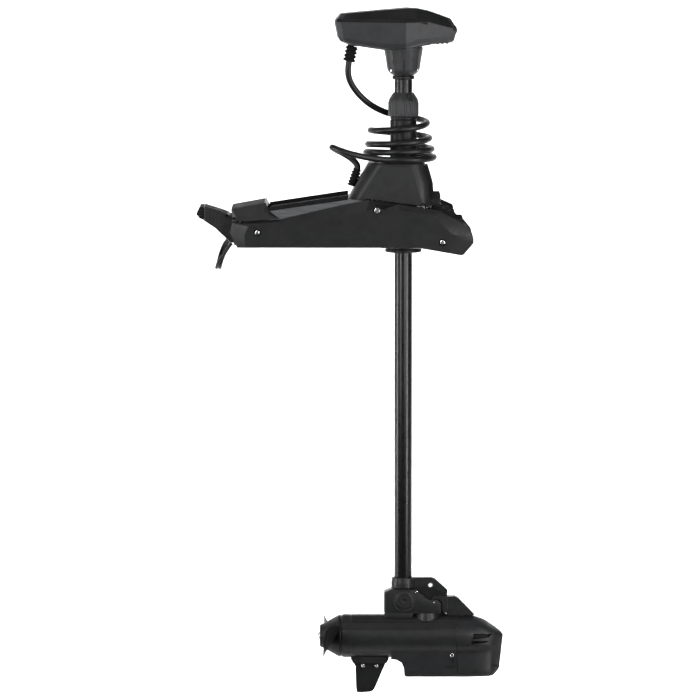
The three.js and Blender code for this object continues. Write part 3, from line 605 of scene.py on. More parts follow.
def twin_section():
    pts = []
    for i in range(-12, 13):
        a = math.radians(i * 13.2)
        pts.append((3.6 + 3.6 * math.cos(a), 3.6 * math.sin(a)))
    for i in range(-12, 13):
        a = math.radians(180 + i * 13.2)
        pts.append((-3.6 + 3.6 * math.cos(a), 3.6 * math.sin(a)))
    return pts


def up_side(f, t):
    """The pair lies flat: its wide side stays level, square to the run."""
    s = t.cross(Vector((0, 0, 1)))
    return s if s.length > 0.05 else Vector((0, 1, 0))


lead = sweep("power_lead", pcurve, twin_section(), side=up_side)
finish(lead, JACKET, "mount", "power_cable", "power_cable_coil")

# the two strands part near the end and each carries a crimped ring terminal
tails = []
for name, sx, tx in (("terminal_positive", 1, 9.0), ("terminal_negative", -1, -10.0)):
    x0 = -1.6 + sx * 3.5
    pth = catmull([(x0, 161.5, 7.05), (x0, 158, 6.9), (x0 + (tx - x0) * 0.3, 150, 6.2), (tx - (tx - x0) * 0.12, 141, 5.6), (tx, 132, 5.2)], 10)
    strand = finish(sweep(name + "_strand", pth, round_section(3.5, 18)), JACKET, "mount")
    sleeve = finish(lathe(name + "_sleeve", [(3.6, 125.4), (4.3, 125.4), (4.35, 126.2), (4.35, 136.6), (4.1, 137.8), (3.5, 138.0)], "y", (tx, 5.2), 32),
                    RED if sx > 0 else DARK, "mount")
    lug = [(tx - 2.9, 127.5), (tx - 4.2, 122.6)]
    for i in range(0, 27):
        a = math.radians(140 + i * 260 / 26)
        lug.append((tx + 8.0 * math.cos(a), 114.5 + 8.0 * math.sin(a)))
    lug += [(tx + 4.2, 122.6), (tx + 2.9, 127.5)]
    eye = prism(name + "_eye", lug, 3.8, 6.2, 0)
    cut = lathe("cut", [(0, 0), (4.1, 0), (4.1, 12), (0, 12)], "z", (tx, 114.5), 32)
    boolean(eye, cut)
    bevel(eye, 0.3, 2)
    finish(eye, COPPER, "mount", name)
    tails += [strand, sleeve, eye]
thin(pcurve, 90)
# ---------------------------------------------------------------- deck mount
TX, TZ = 142.7, 80.7
REAR, BOW = (-116.2, 32.9), (283.7, 12.0)
COVER_LINE = [(-160.1, -0.1), (-175.8, 33.2), (-170.2, 53.7), (-136.2, 54.6), (-68.6, 61.1), (62.2, 91.2), (125.9, 103.9), (140.5, 88.8), (163.4, 85.8), (189.5, 94),
              (278.3, 79.4), (332.1, 51.1), (348.2, 31), (351.3, 19.7), (351.1, 9.7), (329.3, -15.4), (324, -16.5), (240.5, -2.1), (160.3, -0.1)]
COVER_FACE = [(-141.4, 0.3), (-144.7, 25.5), (-136.2, 46.9), (-116.5, 51.5), (-66.4, 55.6), (62.2, 68.9), (118.9, 80), (134.2, 85.1), (163.4, 82), (189.5, 80.7),
              (261.5, 71.8), (282.4, 51.3), (299.8, 33.8), (306.2, 27.3), (303.1, 20.8), (293.3, 8.3), (290.7, 4.2), (240.5, 0), (160.3, 0)]


def at(line, y):
    return [(p[0], y, p[1]) for p in line]


def shrunk(line, k):
    cx = sum(p[0] for p in line) / len(line)
    cz = sum(p[1] for p in line) / len(line)
    return [(cx + (p[0] - cx) * k, cz + (p[1] - cz) * k) for p in line]


def between(a, b, f):
    return [(p[0] + (q[0] - p[0]) * f, p[1] + (q[1] - p[1]) * f) for p, q in zip(a, b)]


def cyl_y(r, y0, y1, c, n=40):
    return lathe("cut", [(0, y0), (r, y0), (r, y1), (0, y1)], "y", c, n)


def bolt_head(name, r, c, y, side, body="mount", thick=3.0, drive=True):
    """Pan head with a hex socket, facing out."""
    prof = [(0, y), (r, y), (r, y + side * thick * 0.5), (r * 0.9, y + side * thick * 0.85), (r * 0.72, y + side * thick), (0, y + side * thick)]
    ob = lathe(name, prof, "y", c, 48)
    if drive:
        hx = [(c[0] + r * 0.45 * math.cos(math.pi / 3 * i), c[1] + r * 0.45 * math.sin(math.pi / 3 * i)) for i in range(6)]
        y0, y1 = sorted((y + side * thick * 0.35, y + side * (thick + 2)))
        boolean(ob, slab("cut", hx, y0, y1, 0))
        shade(ob, 30)
    return finish(ob, STEEL, body)


for side, tag in ((-1, "starboard"), (1, "port")):
    s = side
    face_mid = between(COVER_LINE, COVER_FACE, 0.12)
    cov = loft("side_cover_" + tag + "_skin", [at(COVER_LINE, s * 88.3), at(COVER_LINE, s * 95.2), at(COVER_FACE, s * 103)], 0)
    y0, y1 = sorted((s * 99.6, s * 110))
    for c, r in ((REAR, 8.5), (BOW, 8.5), ((TX, TZ), 9.4)):
        boolean(cov, cyl_y(r, y0, y1, c))
    bevel(cov, 0.9, 3, 12, 30)
    finish(cov, PLASTIC, "mount", "side_cover_" + tag)
    # the Y span of a flat border panel along the middle, blank where the maker's lettering would be; the panel itself
    # is not built
    a, b = sorted((s * 102.9, s * 103.25))
    # washers in the pockets
    for nm, c, r, rh in (("rear", REAR, 8.0, 5.4), ("bow", BOW, 8.0, 5.4), ("pivot", (TX, TZ), 8.8, 6.5)):
        ring = lathe("washer_" + nm + "_" + tag, rounded([(3.2, s * 99.65), (r - 0.5, s * 99.65), (r - 0.5, s * 100.3), (3.2, s * 100.3)], 0.25, 2), "y", c, 48)
        finish(ring, RUBBER, "mount")
    hd = bolt_head("pivot_head_" + tag, 6.5, (TX, TZ), s * 100.3, s, thick=3.3)
    for nm, c in (("rear", REAR), ("bow", BOW)):
        h = bolt_head(nm + "_screw_head_" + tag, 5.4, c, s * 100.3, s, thick=3.0)
        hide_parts(nm + "_screw_" + tag)
    # rubber-lipped strip along the rail
    t0 = [(-92, 79.2), (80, 103.8), (80, 113.5), (-92, 87.7)]
    yy = sorted((s * 92, s * 83.6))
    strip = slab("rail_strip_" + tag, t0, yy[0], yy[1], 1.4, 3)
    finish(strip, RUBBER, "mount", "rail_trim_" + tag)
    for k, zoff in enumerate((1.6, 5.0)):
        lip = slab("rail_strip_lip_%d_%s" % (k, tag), [(-90, 80.4 + zoff), (79.4, 105.2 + zoff), (79.4, 106.4 + zoff), (-90, 81.6 + zoff)],
                   *sorted((s * 91, s * 93.1)), 0.4, 2)
        finish(lip, DARK, "mount")
    # stepped bumper with two rubber noses
    pad = [(280.9, 95.0), (296, 88.6), (308.8, 82.7), (312.5, 66.4), (317.3, 60.4), (328.4, 60.2), (331.6, 52.2), (318.5, 48.6), (300, 60), (269, 75.5)]
    pb = slab("bow_bumper_" + tag, pad, *sorted((s * 94.6, s * 84.2)), 2.0, 4)
    rail_cut = loft("cut", [at([(p[0] + 0.5, p[1] + 0.8) for p in COVER_LINE], s * 120), at([(p[0] + 0.5, p[1] + 0.8) for p in COVER_LINE], s * 88.0)], 0)
    boolean(pb, rail_cut)
    shade(pb, 34)
    finish(pb, RUBBER, "mount", "bow_pad_" + tag)
    for k, q in enumerate(((286, 87.2), (299, 80.8), (321.5, 55.6))):
        stud = lathe("bumper_stud_%d_%s" % (k, tag), rounded([(0, s * 94.0), (3.1, s * 94.0), (3.1, s * 95.6), (0, s * 95.6)], 0.6, 3), "y", q, 28)
        finish(stud, DARK, "mount")

# rear top cover
CAP = [(-170.2, 57.1), (-136.2, 56.2), (-68.6, 62.8), (-90.6, 79.4), (-98, 96.6), (-173.0, 83.1)]
CAPE = [(-164.5, 58.3), (-136.2, 57.5), (-72.9, 63.4), (-90.4, 71.6), (-103.5, 74.9), (-162.3, 68.4)]
cap = loft("rear_cover_shell", [at(CAPE, -98.8), at(CAP, -90), at(CAP, 90), at(CAPE, 98.8)], 0)
inner = slab("cut", [(-180, 40), (-180, 74), (-169, 78.5), (-102, 91), (-97, 76), (-60, 60), (-60, 40)], -88.5, 88.5, 0)
boolean(cap, inner)
cw = slab("cut", [(-95, 40), (-95, 88), (-60, 88), (-60, 40)], -88.5, 88.5, 0)
boolean(cap, cw)
bevel(cap, 0.9, 3, 14, 30)
finish(cap, PLASTIC2, "mount", "rear_top_cover")
for s in (-1, 1):
    stud = lathe("rear_cover_plug_%d" % s, rounded([(0, s * 96.6), (3.6, s * 96.6), (3.6, s * 99.3), (0, s * 99.3)], 0.5, 2), "y", (-167.4, 63.0), 28)
    finish(stud, RUBBER, "mount")

# pedal: wedge with side ribs, blind recesses and a ribbed rubber end
PED = [(-233.0, 86.0), (-193.5, 73.9), (-179.8, 68.5), (-160.1, 57.6), (-147.1, 35.8), (-149.2, 14), (-162.3, 7.4), (-174.7, 8.3), (-208.1, 39.9), (-233.0, 56.4)]
ped = loft("pedal_body", [at(shrunk(PED, 0.955), -58), at(PED, -55.4), at(PED, 55.4), at(shrunk(PED, 0.955), 58)], 0)
for s in (-1, 1):
    y0, y1 = sorted((s * 55.5, s * 64))
    for c, r in (((-181.9, 68.9 - 3.2), 2.4), ((-169.0, 56.0), 2.6)):
        boolean(ped, cyl_y(r, y0, y1, c, 24))
    y0, y1 = sorted((s * 56.8, s * 64))
    boolean(ped, slab("cut", [(-223, 76), (-198, 68.6), (-186, 60), (-193, 47), (-206, 46.5), (-223, 57.5)], y0, y1, 0))
for s in (-1, 1):
    y0, y1 = sorted((s * 50, s * 64))
    boolean(ped, cyl_y(4.5, y0, y1, (-150, 31), 32))
bevel(ped, 1.1, 3, 20, 30)
finish(ped, PLASTIC2, "pedal", "pedal")
for s, tg in ((-1, "a"), (1, "b")):
    for k in range(3):
        x = -217 + k * 9.0
        r = slab("pedal_rib_%d%s" % (k, tg), [(x, 56 - 0.75 * (x + 223) * 0.6), (x + 1.8, 55.3 - 0.75 * (x + 223) * 0.6), (x + 1.8, 72.6 - 0.31 * (x + 217)), (x, 73.2 - 0.31 * (x + 217))],
                 *sorted((s * 56.2, s * 57.5)), 0.3, 2)
        finish(r, PLASTIC2, "pedal")
for s in (-1, 1):
    stud = lathe("pedal_plug_%d" % s, rounded([(0, s * 55), (3.4, s * 55), (3.4, s * 58.0), (0, s * 58.0)], 0.5, 2), "y", (-182.5, 66.6), 28)
    finish(stud, RUBBER, "pedal")
ENDL = [(-232.4, 85.6), (-241.3, 85.9), (-249.6, 70), (-241.3, 60.9), (-232.4, 57.0)]
endc = slab("pedal_end_rubber", ENDL, -57, 57, 2.0, 4)
finish(endc, RUBBER, "pedal", "pedal_end_cap")
for k in range(5):
    f = k / 4
    z = 61.5 + 22.5 * f
    x = -244.2 - 4.6 * (1 - abs(2 * f - 0.75) / 1.25) + 0.6
    for s in (-1, 1):
        rib = slab("pedal_end_rib_%d_%d" % (k, s), [(-235.6, z - 0.9), (-235.6, z + 0.9), (max(x, -246.5), z + 0.7), (max(x, -246.5), z - 0.7)], *sorted((s * 56.7, s * 57.5)), 0.25, 2)
        finish(rib, DARK, "pedal")

# rubber pads on the pedal's top and on the rear cover
pp = slab("pedal_top_pad", [(-231, 85.0), (-196, 74.2), (-182, 69.0), (-182, 70.4), (-196, 75.6), (-231, 86.5)], -52.5, 52.5, 0.5, 2)
finish(pp, RUBBER, "pedal")
for k in range(9):
    x = -228.5 + k * 3.9
    z = 86.0 + (x + 232.0) * (73.9 - 86.0) / 39.5
    r = slab("pedal_tread_%d" % k, [(x, z - 0.2), (x + 1.9, z - 0.8), (x + 1.6, z + 0.5), (x + 0.3, z + 0.9)], -49, 49, 0.3, 2)
    finish(r, RUBBER, "pedal")
cp = slab("rear_cover_pad", [(-171.5, 83.0), (-101, 95.9), (-101.2, 96.9), (-171.7, 84.0)], -86, 86, 0.4, 2)
finish(cp, RUBBER, "mount")

# gland: ribbed rubber boot where the power lead leaves
boot = []
for i in range(9):
    f = i / 8
    boot.append((10.6 - 2.2 * f + (0.7 if i % 2 == 0 else 0), -151 - 15.6 * f))
gl = lathe("power_boot", rounded([(6.2, -150.4)] + boot + [(6.4, -167.2)], 0.5, 2), "x", (-76, 11.6), 40)
for v in gl.data.vertices:
    v.co.z = 0.0116 + (v.co.z - 0.0116) * 0.82
finish(gl, RUBBER, "mount", "power_gland")
# ---------------------------------------------------------------- tower
def round_rect(x0, x1, hy, r, z, per=7):
    out = []
    for cx, cy, a0 in ((x1 - r, hy - r, 0), (x0 + r, hy - r, 90), (x0 + r, -hy + r, 180), (x1 - r, -hy + r, 270)):
        for i in range(per):
            a = math.radians(a0 + 90 * i / (per - 1))
            out.append((cx + r * math.cos(a), cy + r * math.sin(a), z))
    return out


def tower_ring(z, inset=0.0):
    keys = [(60, 74, 258, 66, 26), (93, 74, 258, 66, 26), (136, 98, 257, 64, 30), (172, 119, 247.5, 60.6, 33), (178.5, 122.2, 246.5, 59.4, 33), (181, 125, 244, 57, 32)]
    for a, b in zip(keys, keys[1:]):
        if a[0] <= z <= b[0]:
            f = (z - a[0]) / (b[0] - a[0])
            q = [p + (r - p) * f for p, r in zip(a, b)]
            return round_rect(q[1] + inset, q[2] - inset, q[3] - inset, q[4] - inset, z)


def tower_part(side):
    rings = [tower_ring(z) for z in (60, 93, 110, 136, 155, 172, 178.5, 181)]
    ob = loft("tower_skin", rings, 0)
    inn = loft("cut", [tower_ring(z, 3.5) for z in (60, 93, 136, 172)] + [tower_ring(178.5, 5.5)], 0)
    for v in inn.data.vertices:
        v.co.z -= 0.0008
    boolean(ob, inn)
    boolean(ob, slab("cut", [(40, 40), (40, 97), (128, 104), (192, 94.5), (290, 82), (290, 40)], -90, 90, 0))
    boolean(ob, lathe("cut", [(0, 150), (29.8, 150), (29.8, 200), (0, 200)], "z", (SX, 0), 64))
    gp = catmull([(84.8, -12, 119), (88, -12, 129), (100.3, -12, 167)], 6)
    boolean(ob, sweep("cut", gp, round_section(13.5, 32)))
    # raked facet low on the side
    s = side
    y0, y1 = sorted((s * 65.0, s * 80))
    facet = loft("cut", [[(x, s * 64.6, z) for x, z in ((132, 98), (148, 137), (262, 133), (262, 84), (194, 94))],
                         [(x, s * 75, z) for x, z in ((122, 90), (142, 146), (272, 140), (272, 76), (194, 84))]], 0)
    boolean(ob, facet)
    keepbox = [(30, 0.2 * s), (300, 0.2 * s), (300, 200 * s), (30, 200 * s)]
    boolean(ob, prism("cut", keepbox, 0, 300, 0), "INTERSECT")
    return bevel(ob, 0.7, 3, 28, 32)


for side, tag in ((-1, "starboard"), (1, "port")):
    t = tower_part(side)
    t.name = "tower_side_" + tag
    finish(t, PLASTIC2, "tower", "tower_shell_" + tag)
    s = side
    # dark label bracket low on the bow corner, and its lanyard loop
    br = slab("tower_bracket_" + tag, [(246.5, 88.5), (246.5, 96)] + [(262 + 15 * math.cos(a), 92 + 10.5 * math.sin(a)) for a in [math.radians(175 - 17.5 * i) for i in range(11)]] + [(277, 88)],
              *sorted((s * 37, s * 40.6)), 0.5, 2)
    finish(br, DARK, "tower")
loop_pts = [Vector((243 + 5.2 * math.cos(a), -67.0 - 1.2 * math.sin(2 * a), 87.5 + 6.4 * math.sin(a))) for a in [2 * math.pi * i / 40 for i in range(41)]]
finish(sweep("tower_lanyard_loop", loop_pts, round_section(1.1, 10)), RUBBER, "tower")
trim = slab("tower_bow_strip", [(242.4, 175), (252.8, 175), (258.2, 158), (264.0, 137), (265.0, 117), (265.0, 92), (256.0, 92), (254.6, 136)], -40, 40, 1.2, 3)
boolean(trim, slab("cut", [(262.6, 100), (262.6, 130), (270, 130), (270, 100)], -22, 22, 0))
finish(bevel(trim, 0.3, 2), RUBBER, "tower", "tower_bow_trim")
fill = slab("tower_bow_filler", [(243, 90), (243, 99), (263.5, 99), (263.5, 90)], -42, 42, 0.6, 2)
finish(fill, DARK, "tower")
lk = loft("lock_block_body", [at([(265.3, 91.6), (280, 91.6), (280.5, 108), (278.5, 117), (265.3, 117)], -16), at([(265.3, 91.6), (280, 91.6), (280.5, 108), (278.5, 117), (265.3, 117)], 16)], 0)
lk2 = slab("lock_block_foot", [(252.6, 68), (279, 66), (281, 91.5), (265.2, 91.5), (262, 83), (252.6, 81)], -22, 22, 1.4, 3)
bevel(lk, 1.4, 3)
finish(lk, DARK, "tower", "lock_block")
finish(lk2, DARK, "tower")
for k in range(4):
    z = 96 + k * 4.6
    r = slab("lock_block_rib_%d" % k, [(279.2, z), (281.4, z + 0.4), (281.4, z + 1.8), (279.2, z + 2.2)], -12, 12, 0.3, 2)
    finish(r, DARK, "tower")


def ribbed_along(name, a, b, prof, mat, body, node=None, n=40):
    """Lathe with its axis from a to b; prof: (radius, distance along)."""
    a, b = Vector(a), Vector(b)
    d = (b - a).normalized()
    u = d.cross(Vector((0, 1, 0))).normalized()
    v = d.cross(u)
    verts, faces = [], []
    k = len(prof)
    for i in range(n):
        t = 2 * math.pi * i / n
        for r, h in prof:
            verts.append(P(*(a + d * h + u * (r * math.cos(t)) + v * (r * math.sin(t)))))
    closed = prof[0][0] > 1e-6
    for i in range(n):
        j = (i + 1) % n
        for q in range(k if closed else k - 1):
            faces.append((i * k + q, j * k + q, j * k + (q + 1) % k, i * k + (q + 1) % k))
    ob = shade(make(name, verts, faces), 30)
    return finish(ob, mat, body, *((node,) if node else ()))


gl_len = (Vector((99, -12, 163)) - Vector((88, -12, 129))).length
prof = [(0, 0), (11, 0)]
for i in range(5):
    z = gl_len * (i + 0.5) / 5
    prof += [(11 - 0.25 * i, z), (8.9 - 0.25 * i, z + 0.6), (8.9 - 0.25 * i, z + 2.6), (10.9 - 0.25 * i, z + 3.2)]
prof = prof[:-1] + [(9.2, gl_len), (8.6, gl_len + 3.2), (0, gl_len + 3.2)]
ribbed_along("tower_cable_boot", (88, -12, 129), (99, -12, 163), rounded(prof, 0.45, 2), RUBBER, "tower", "tower_gland")

# steering tube and its flange
tube = lathe("steering_sleeve", rounded([(20.2, -12), (28.2, -12), (29, -10.5), (29, 170), (29, 271.5), (27.6, 272), (27.6, 274), (29, 274.5), (28.6, 278.2), (20.2, 278.2)], 0.6, 3), "z", (SX, 0), 96)
finish(tube, DARK, "steering", "steering_tube")
fl_prof = [(29.6, -15.8), (37.6, -15.8), (40, -13.6), (40, -9.6), (38.4, -9.0), (38.4, -7.6), (40, -7.0), (40, -4.6), (29.6, -4.6)]
fl = lathe("bottom_flange_ring", rounded(fl_prof, 0.5, 3), "z", (SX, 0), 96)
finish(fl, DARK, "tower", "bottom_flange")
for k in range(8):
    a = math.radians(22.5 + 45 * k)
    lug = lathe("flange_lug_%d" % k, rounded([(0, -16.0), (3.2, -16.0), (3.2, -15.2), (0, -15.2)], 0.3, 2), "z", (SX + 34.4 * math.cos(a), 34.4 * math.sin(a)), 20)
    finish(lug, STEEL, "tower")

# ---------------------------------------------------------------- shaft
shaft = lathe("shaft_composite_tube", rounded([(16.5, -746), (19.4, -746), (19.4, -300), (19.4, 100), (19.4, 422), (16.5, 422)], 0.5, 2), "z", (SX, 0), 128)
finish(shaft, SHAFT, "shaft", "shaft_tube")
ring = lathe("neck_ring", rounded([(19.7, 360.2), (23.0, 360.2), (24.3, 362), (24.3, 366.6), (22.8, 368.4), (19.7, 368.4)], 0.7, 3), "z", (SX, 0), 96)
finish(ring, DARK, "shaft", "shaft_top_ring")


def faceted(n, soft, phase=0.0):
    """Radius factor of a rounded polygon with n sides."""
    def f(a):
        b = (a - phase) % (2 * math.pi / n) - math.pi / n
        poly = math.cos(math.pi / n) / math.cos(b)
        return poly * (1 - soft) + soft
    return f


# cup under the head: flat facets, front slit, screws in its shoulders
cup_prof = [(19.8, 369.4), (24.2, 369.4), (30.4, 374.4), (34.6, 378.6), (35.6, 382), (38.4, 400), (40.4, 412), (42.6, 424.6), (42.6, 431.0), (19.8, 431.0)]
fa = faceted(12, 0.45, math.radians(-97))
prof = [((lambda a, r=r: r * (fa(a) if r > 22 else 1.0)), h) for r, h in rounded(cup_prof, 0.9, 3)]
verts, faces = [], []
n = 160
k = len(prof)
for i in range(n):
    a = 2 * math.pi * i / n
    for fr, h in prof:
        verts.append(P(SX + fr(a) * math.cos(a), fr(a) * math.sin(a), h))
for i in range(n):
    j = (i + 1) % n
    for q in range(k):
        faces.append((i * k + q, j * k + q, j * k + (q + 1) % k, i * k + (q + 1) % k))
cup = make("neck_cup", verts, faces)
boolean(cup, slab("cut", [(SX + 0.3, 372), (SX + 0.3, 402), (SX + 1.9, 402), (SX + 1.9, 372)], -60, -31.5, 0))
boolean(cup, slab("cut", [(SX - 34, 396), (SX - 20, 396), (SX - 20, 397.2), (SX - 34, 397.2)], -60, -26, 0))
shade(cup, 9)
finish(cup, HEADM, "shaft", "neck_clamp")
for k, (sx, sz) in enumerate(((173.4, 380.3), (231.0, 381.6))):
    x = sx - SX
    y = -math.sqrt(max(1, 35.4 ** 2 * 0.93 - x * x))
    d = Vector((x, y, 0)).normalized()
    a = Vector((SX, 0, sz)) + d * 31.5
    b = Vector((SX, 0, sz)) + d * 40
    ribbed_along("neck_screw_%d" % k, a, b, rounded([(0, 0), (3.6, 0), (3.6, 3.4), (2.4, 4.4), (0, 4.6)], 0.4, 2), STEEL, "shaft", n=28)

# ---------------------------------------------------------------- depth collar
flute = 26
def fluted(r, depth, z0):
    return lambda a: r - depth * (0.5 - 0.5 * math.cos(flute * a)) ** 2.2


prof = [(19.9, 279.2), (31.6, 279.2), (32.6, 281), (fluted(33.4, 1.5, 0), 283.5), (fluted(33.4, 1.7, 0), 297), (fluted(33.4, 1.5, 0), 310), (32.6, 312.2), (31.2, 318), (26.4, 325.4), (22.4, 331.6), (19.9, 331.6)]
verts, faces = [], []
n = 312
k = len(prof)
for i in range(n):
    a = 2 * math.pi * i / n
    for r, h in prof:
        rr = r(a) if callable(r) else r
        verts.append(P(SX + rr * math.cos(a), rr * math.sin(a), h))
for i in range(n):
    j = (i + 1) % n
    for q in range(k):
        faces.append((i * k + q, j * k + q, j * k + (q + 1) % k, i * k + (q + 1) % k))
col = make("depth_collar_body", verts, faces)
shade(col, 34)
finish(col, HEADM, "collar", "depth_collar")
tab = loft("collar_tab", [round_rect(SX + 10.5, SX + 20.5, 4.6, 1.4, z) for z in (314.0, 328.5)], 0)
for v in tab.data.vertices:
    v.co.y -= 0.0262
bevel(tab, 0.9, 3)
finish(tab, DARK, "collar")
# ---------------------------------------------------------------- control head
def lin(pts):
    def f(x):
        if x <= pts[0][0]:
            return pts[0][1]
        for a, b in zip(pts, pts[1:]):
            if x <= b[0]:
                return a[1] + (b[1] - a[1]) * (x - a[0]) / (b[0] - a[0])
        return pts[-1][1]
    return f


bottom_z = lin([(53, 441), (74, 438), (161, 424.8), (201, 425), (243, 437), (303, 440), (316, 441)])
seam_z = lin([(53, 487), (214, 485), (252, 486.5), (314, 470)])
top_z = lin([(59, 503), (214, 516.4), (243, 513), (281, 500), (303, 492)])
up = lambda f, d: (lambda x: f(x) + d)


def plan(xl, xr, hl, hr, zf):
    half = [(xr, hr * 0.6), (xr - 10, hr), (281, hl * 0.21 + hr * 0.79), (252, hl * 0.42 + hr * 0.6), (228, hl * 0.78 + hr * 0.24), (205, hl), (161, hl), (110, hl), (xl + 14, hl), (xl + 3, hl * 0.9), (xl, hl * 0.74)]
    return [(x, y, zf(x)) for x, y in half] + [(x, -y, zf(x)) for x, y in reversed(half)]


low = loft("head_body", [plan(90, 294, 5, 5, bottom_z), plan(78, 305, 60, 27, bottom_z), plan(62, 310, 69.5, 32, up(bottom_z, 5)), plan(56, 312, 73.6, 34.8, up(bottom_z, 14)),
                         plan(50.8, 316.6, 75, 36.5, up(seam_z, -5)), plan(50.8, 316.6, 75, 36.5, up(seam_z, -0.4))], 0)
boolean(low, loft("cut", [plan(98, 286, 5, 5, up(bottom_z, 4)), plan(94, 290, 48, 16, up(bottom_z, 4)), plan(64, 303, 63, 26, up(bottom_z, 15)), plan(58, 308, 69, 30, up(seam_z, 3))], 0))
bevel(low, 1.1, 3, 9, 24)
finish(low, HEADM, "shaft", "head_lower_shell")
top = loft("head_cover", [plan(50.8, 316.6, 75, 36.5, up(seam_z, 1.0)), plan(53.4, 313.6, 73, 34, up(seam_z, 6)), plan(55.4, 311.4, 70.5, 32.4, up(seam_z, 7.2)),
                          plan(61.5, 303, 44, 19, up(top_z, -1.2)), plan(64, 300.5, 40, 16.5, top_z), plan(70, 294, 4, 4, top_z)], 0)
boolean(top, loft("cut", [plan(58, 309, 70, 31, up(seam_z, -3)), plan(62, 304, 64, 27, up(seam_z, 3)), plan(72, 286, 34, 10, up(top_z, -6)), plan(76, 282, 3, 3, up(top_z, -6))], 0))
bevel(top, 1.0, 3, 9, 24)
finish(top, PLASTIC, "shaft", "head_top_cover")
# gasket in the seam
gr = [plan(54.6, 312.8, 73.8, 34.8, up(seam_z, -1.2)), plan(54.6, 312.8, 73.8, 34.8, up(seam_z, 1.6)), plan(60, 307, 68, 29, up(seam_z, 1.6)), plan(60, 307, 68, 29, up(seam_z, -1.2))]
gn = len(gr[0])
gk = shade(make("head_gasket", [P(*p) for r in gr for p in r], [(s * gn + i, s * gn + (i + 1) % gn, (s + 1) % 4 * gn + (i + 1) % gn, (s + 1) % 4 * gn + i) for s in range(4) for i in range(gn)]), 34)
finish(gk, RUBBER, "shaft")
# rows of tread on the head's top, and rubber feet below the bow end
for k in range(4):
    x = 92 + k * 44
    z = top_z(x)
    r = slab("head_top_rib_%d" % k, [(x, z - 0.6), (x + 30, top_z(x + 30) - 0.6), (x + 30, top_z(x + 30) + 0.55), (x, z + 0.55)], -1.6, 1.6, 0.4, 2)
    finish(r, PLASTIC2, "shaft")
for k, x in enumerate((274, 284, 294)):
    for s in (-1, 1):
        yy = s * (17 - (x - 274) * 0.12)
        z = bottom_z(x)
        f = lathe("head_foot_%d_%d" % (k, s), rounded([(0, z + 0.4), (3.4, z + 0.4), (3.0, z - 2.2), (0, z - 2.2)], 0.6, 2), "z", (x, yy), 24)
        finish(f, RUBBER, "shaft")
for s in (-1, 1):
    for x, y in ((96, 46), (262, 18)):
        f = lathe("head_case_screw_%d_%d" % (x, s), [(0, bottom_z(x) + 0.6), (3.4, bottom_z(x) + 0.6), (3.4, bottom_z(x) - 0.9), (2.4, bottom_z(x) - 1.6), (0, bottom_z(x) - 1.6)], "z", (x, s * y), 28)
        finish(f, STEEL, "shaft")
hl = 44.0
prof = [(7.4, 0), (11.0, 0)]
for i in range(4):
    z = 1.0 + 8.6 * i
    r = 13.3 - 0.15 * (i % 2)
    prof += [(r, z), (r, z + 4.6), (r - 2.6, z + 5.3), (r - 2.6, z + 7.9)]
prof += [(12.4, 36.5), (12.4, hl), (7.4, hl)]
ribbed_along("head_cable_boot", (81.5, 0, 399.0), (90.9, 0, 442.0), rounded(prof, 0.5, 2), RUBBER, "shaft", "head_gland", n=48)

# ---------------------------------------------------------------- knuckle under the shaft
def motor_cut(r=MR + 0.4, x0=-20, x1=500):
    return lathe("cut", [(0, x0), (r, x0), (r, x1), (0, x1)], "x", (0, MZ), 96)


sock = lathe("socket_ring", rounded([(0, -751.6), (25.4, -751.6), (26, -749.5), (26, -740), (24.9, -729.2), (24.2, -728.4), (0, -728.4)], 0.6, 3), "z", (SX, 0), 96)
arm = slab("arm", [(203.9, -728.6), (262.0, -728.6), (270, -731.5), (297.2, -756.4), (297.4, -762.6), (249.8, -764.2), (228.3, -749.5), (203.9, -749.5)], -7, 7, 0)
boolean(sock, arm, "UNION")
boolean(sock, lathe("cut", [(0, -746.5), (19.7, -746.5), (19.7, -700), (0, -700)], "z", (SX, 0), 96))
boolean(sock, cyl_y(3.9, -20, 20, (259.7, -746.0)))
bevel(sock, 0.8, 3, 35, 32)
finish(sock, PAINT, "shaft", "shaft_socket")
eye = lathe("arm_eyelet", rounded([(4.0, -7.5), (6.4, -7.5), (6.4, 7.5), (4.0, 7.5)], 0.4, 2), "y", (259.7, -746.0), 40)
finish(eye, ALLOY, "shaft")
BLOCK = [(158.1, -759.3), (173.4, -752.8), (226.2, -752.8), (240, -763.5), (254, -774.5), (259.5, -776.4), (276, -776.4), (283.2, -783.6), (283.2, -804.3), (158.1, -804.3)]
kb = loft("knuckle_block", [at(shrunk(BLOCK, 0.95), -26), at(BLOCK, -23), at(BLOCK, 23), at(shrunk(BLOCK, 0.95), 26)], 0)
LOWER = [(158.9, -805.0), (224, -805.0), (221, -812), (217, -826), (165, -826), (158.9, -820)]
kl = loft("knuckle_skirt", [at(shrunk(LOWER, 0.95), -26), at(LOWER, -23.4), at(LOWER, 23.4), at(shrunk(LOWER, 0.95), 26)], 0)
boolean(kl, motor_cut())
bevel(kb, 1.0, 3, 24, 32)
bevel(kl, 0.8, 3, 24, 32)
kj = join("knuckle_body_mesh", [kb, kl])
finish(kj, PAINT, "shaft", "knuckle_body")
# painted shade: a dark sheet in the seam between block and skirt, standing in for the shadow in the gap
gs = slab("knuckle_seam_shade", [(159.6, -803.6), (282.0, -803.6), (282.0, -805.6), (159.6, -805.6)], -24.6, 24.6, 0.2, 1)
finish(gs, GROOVE_SHADE, "shaft")
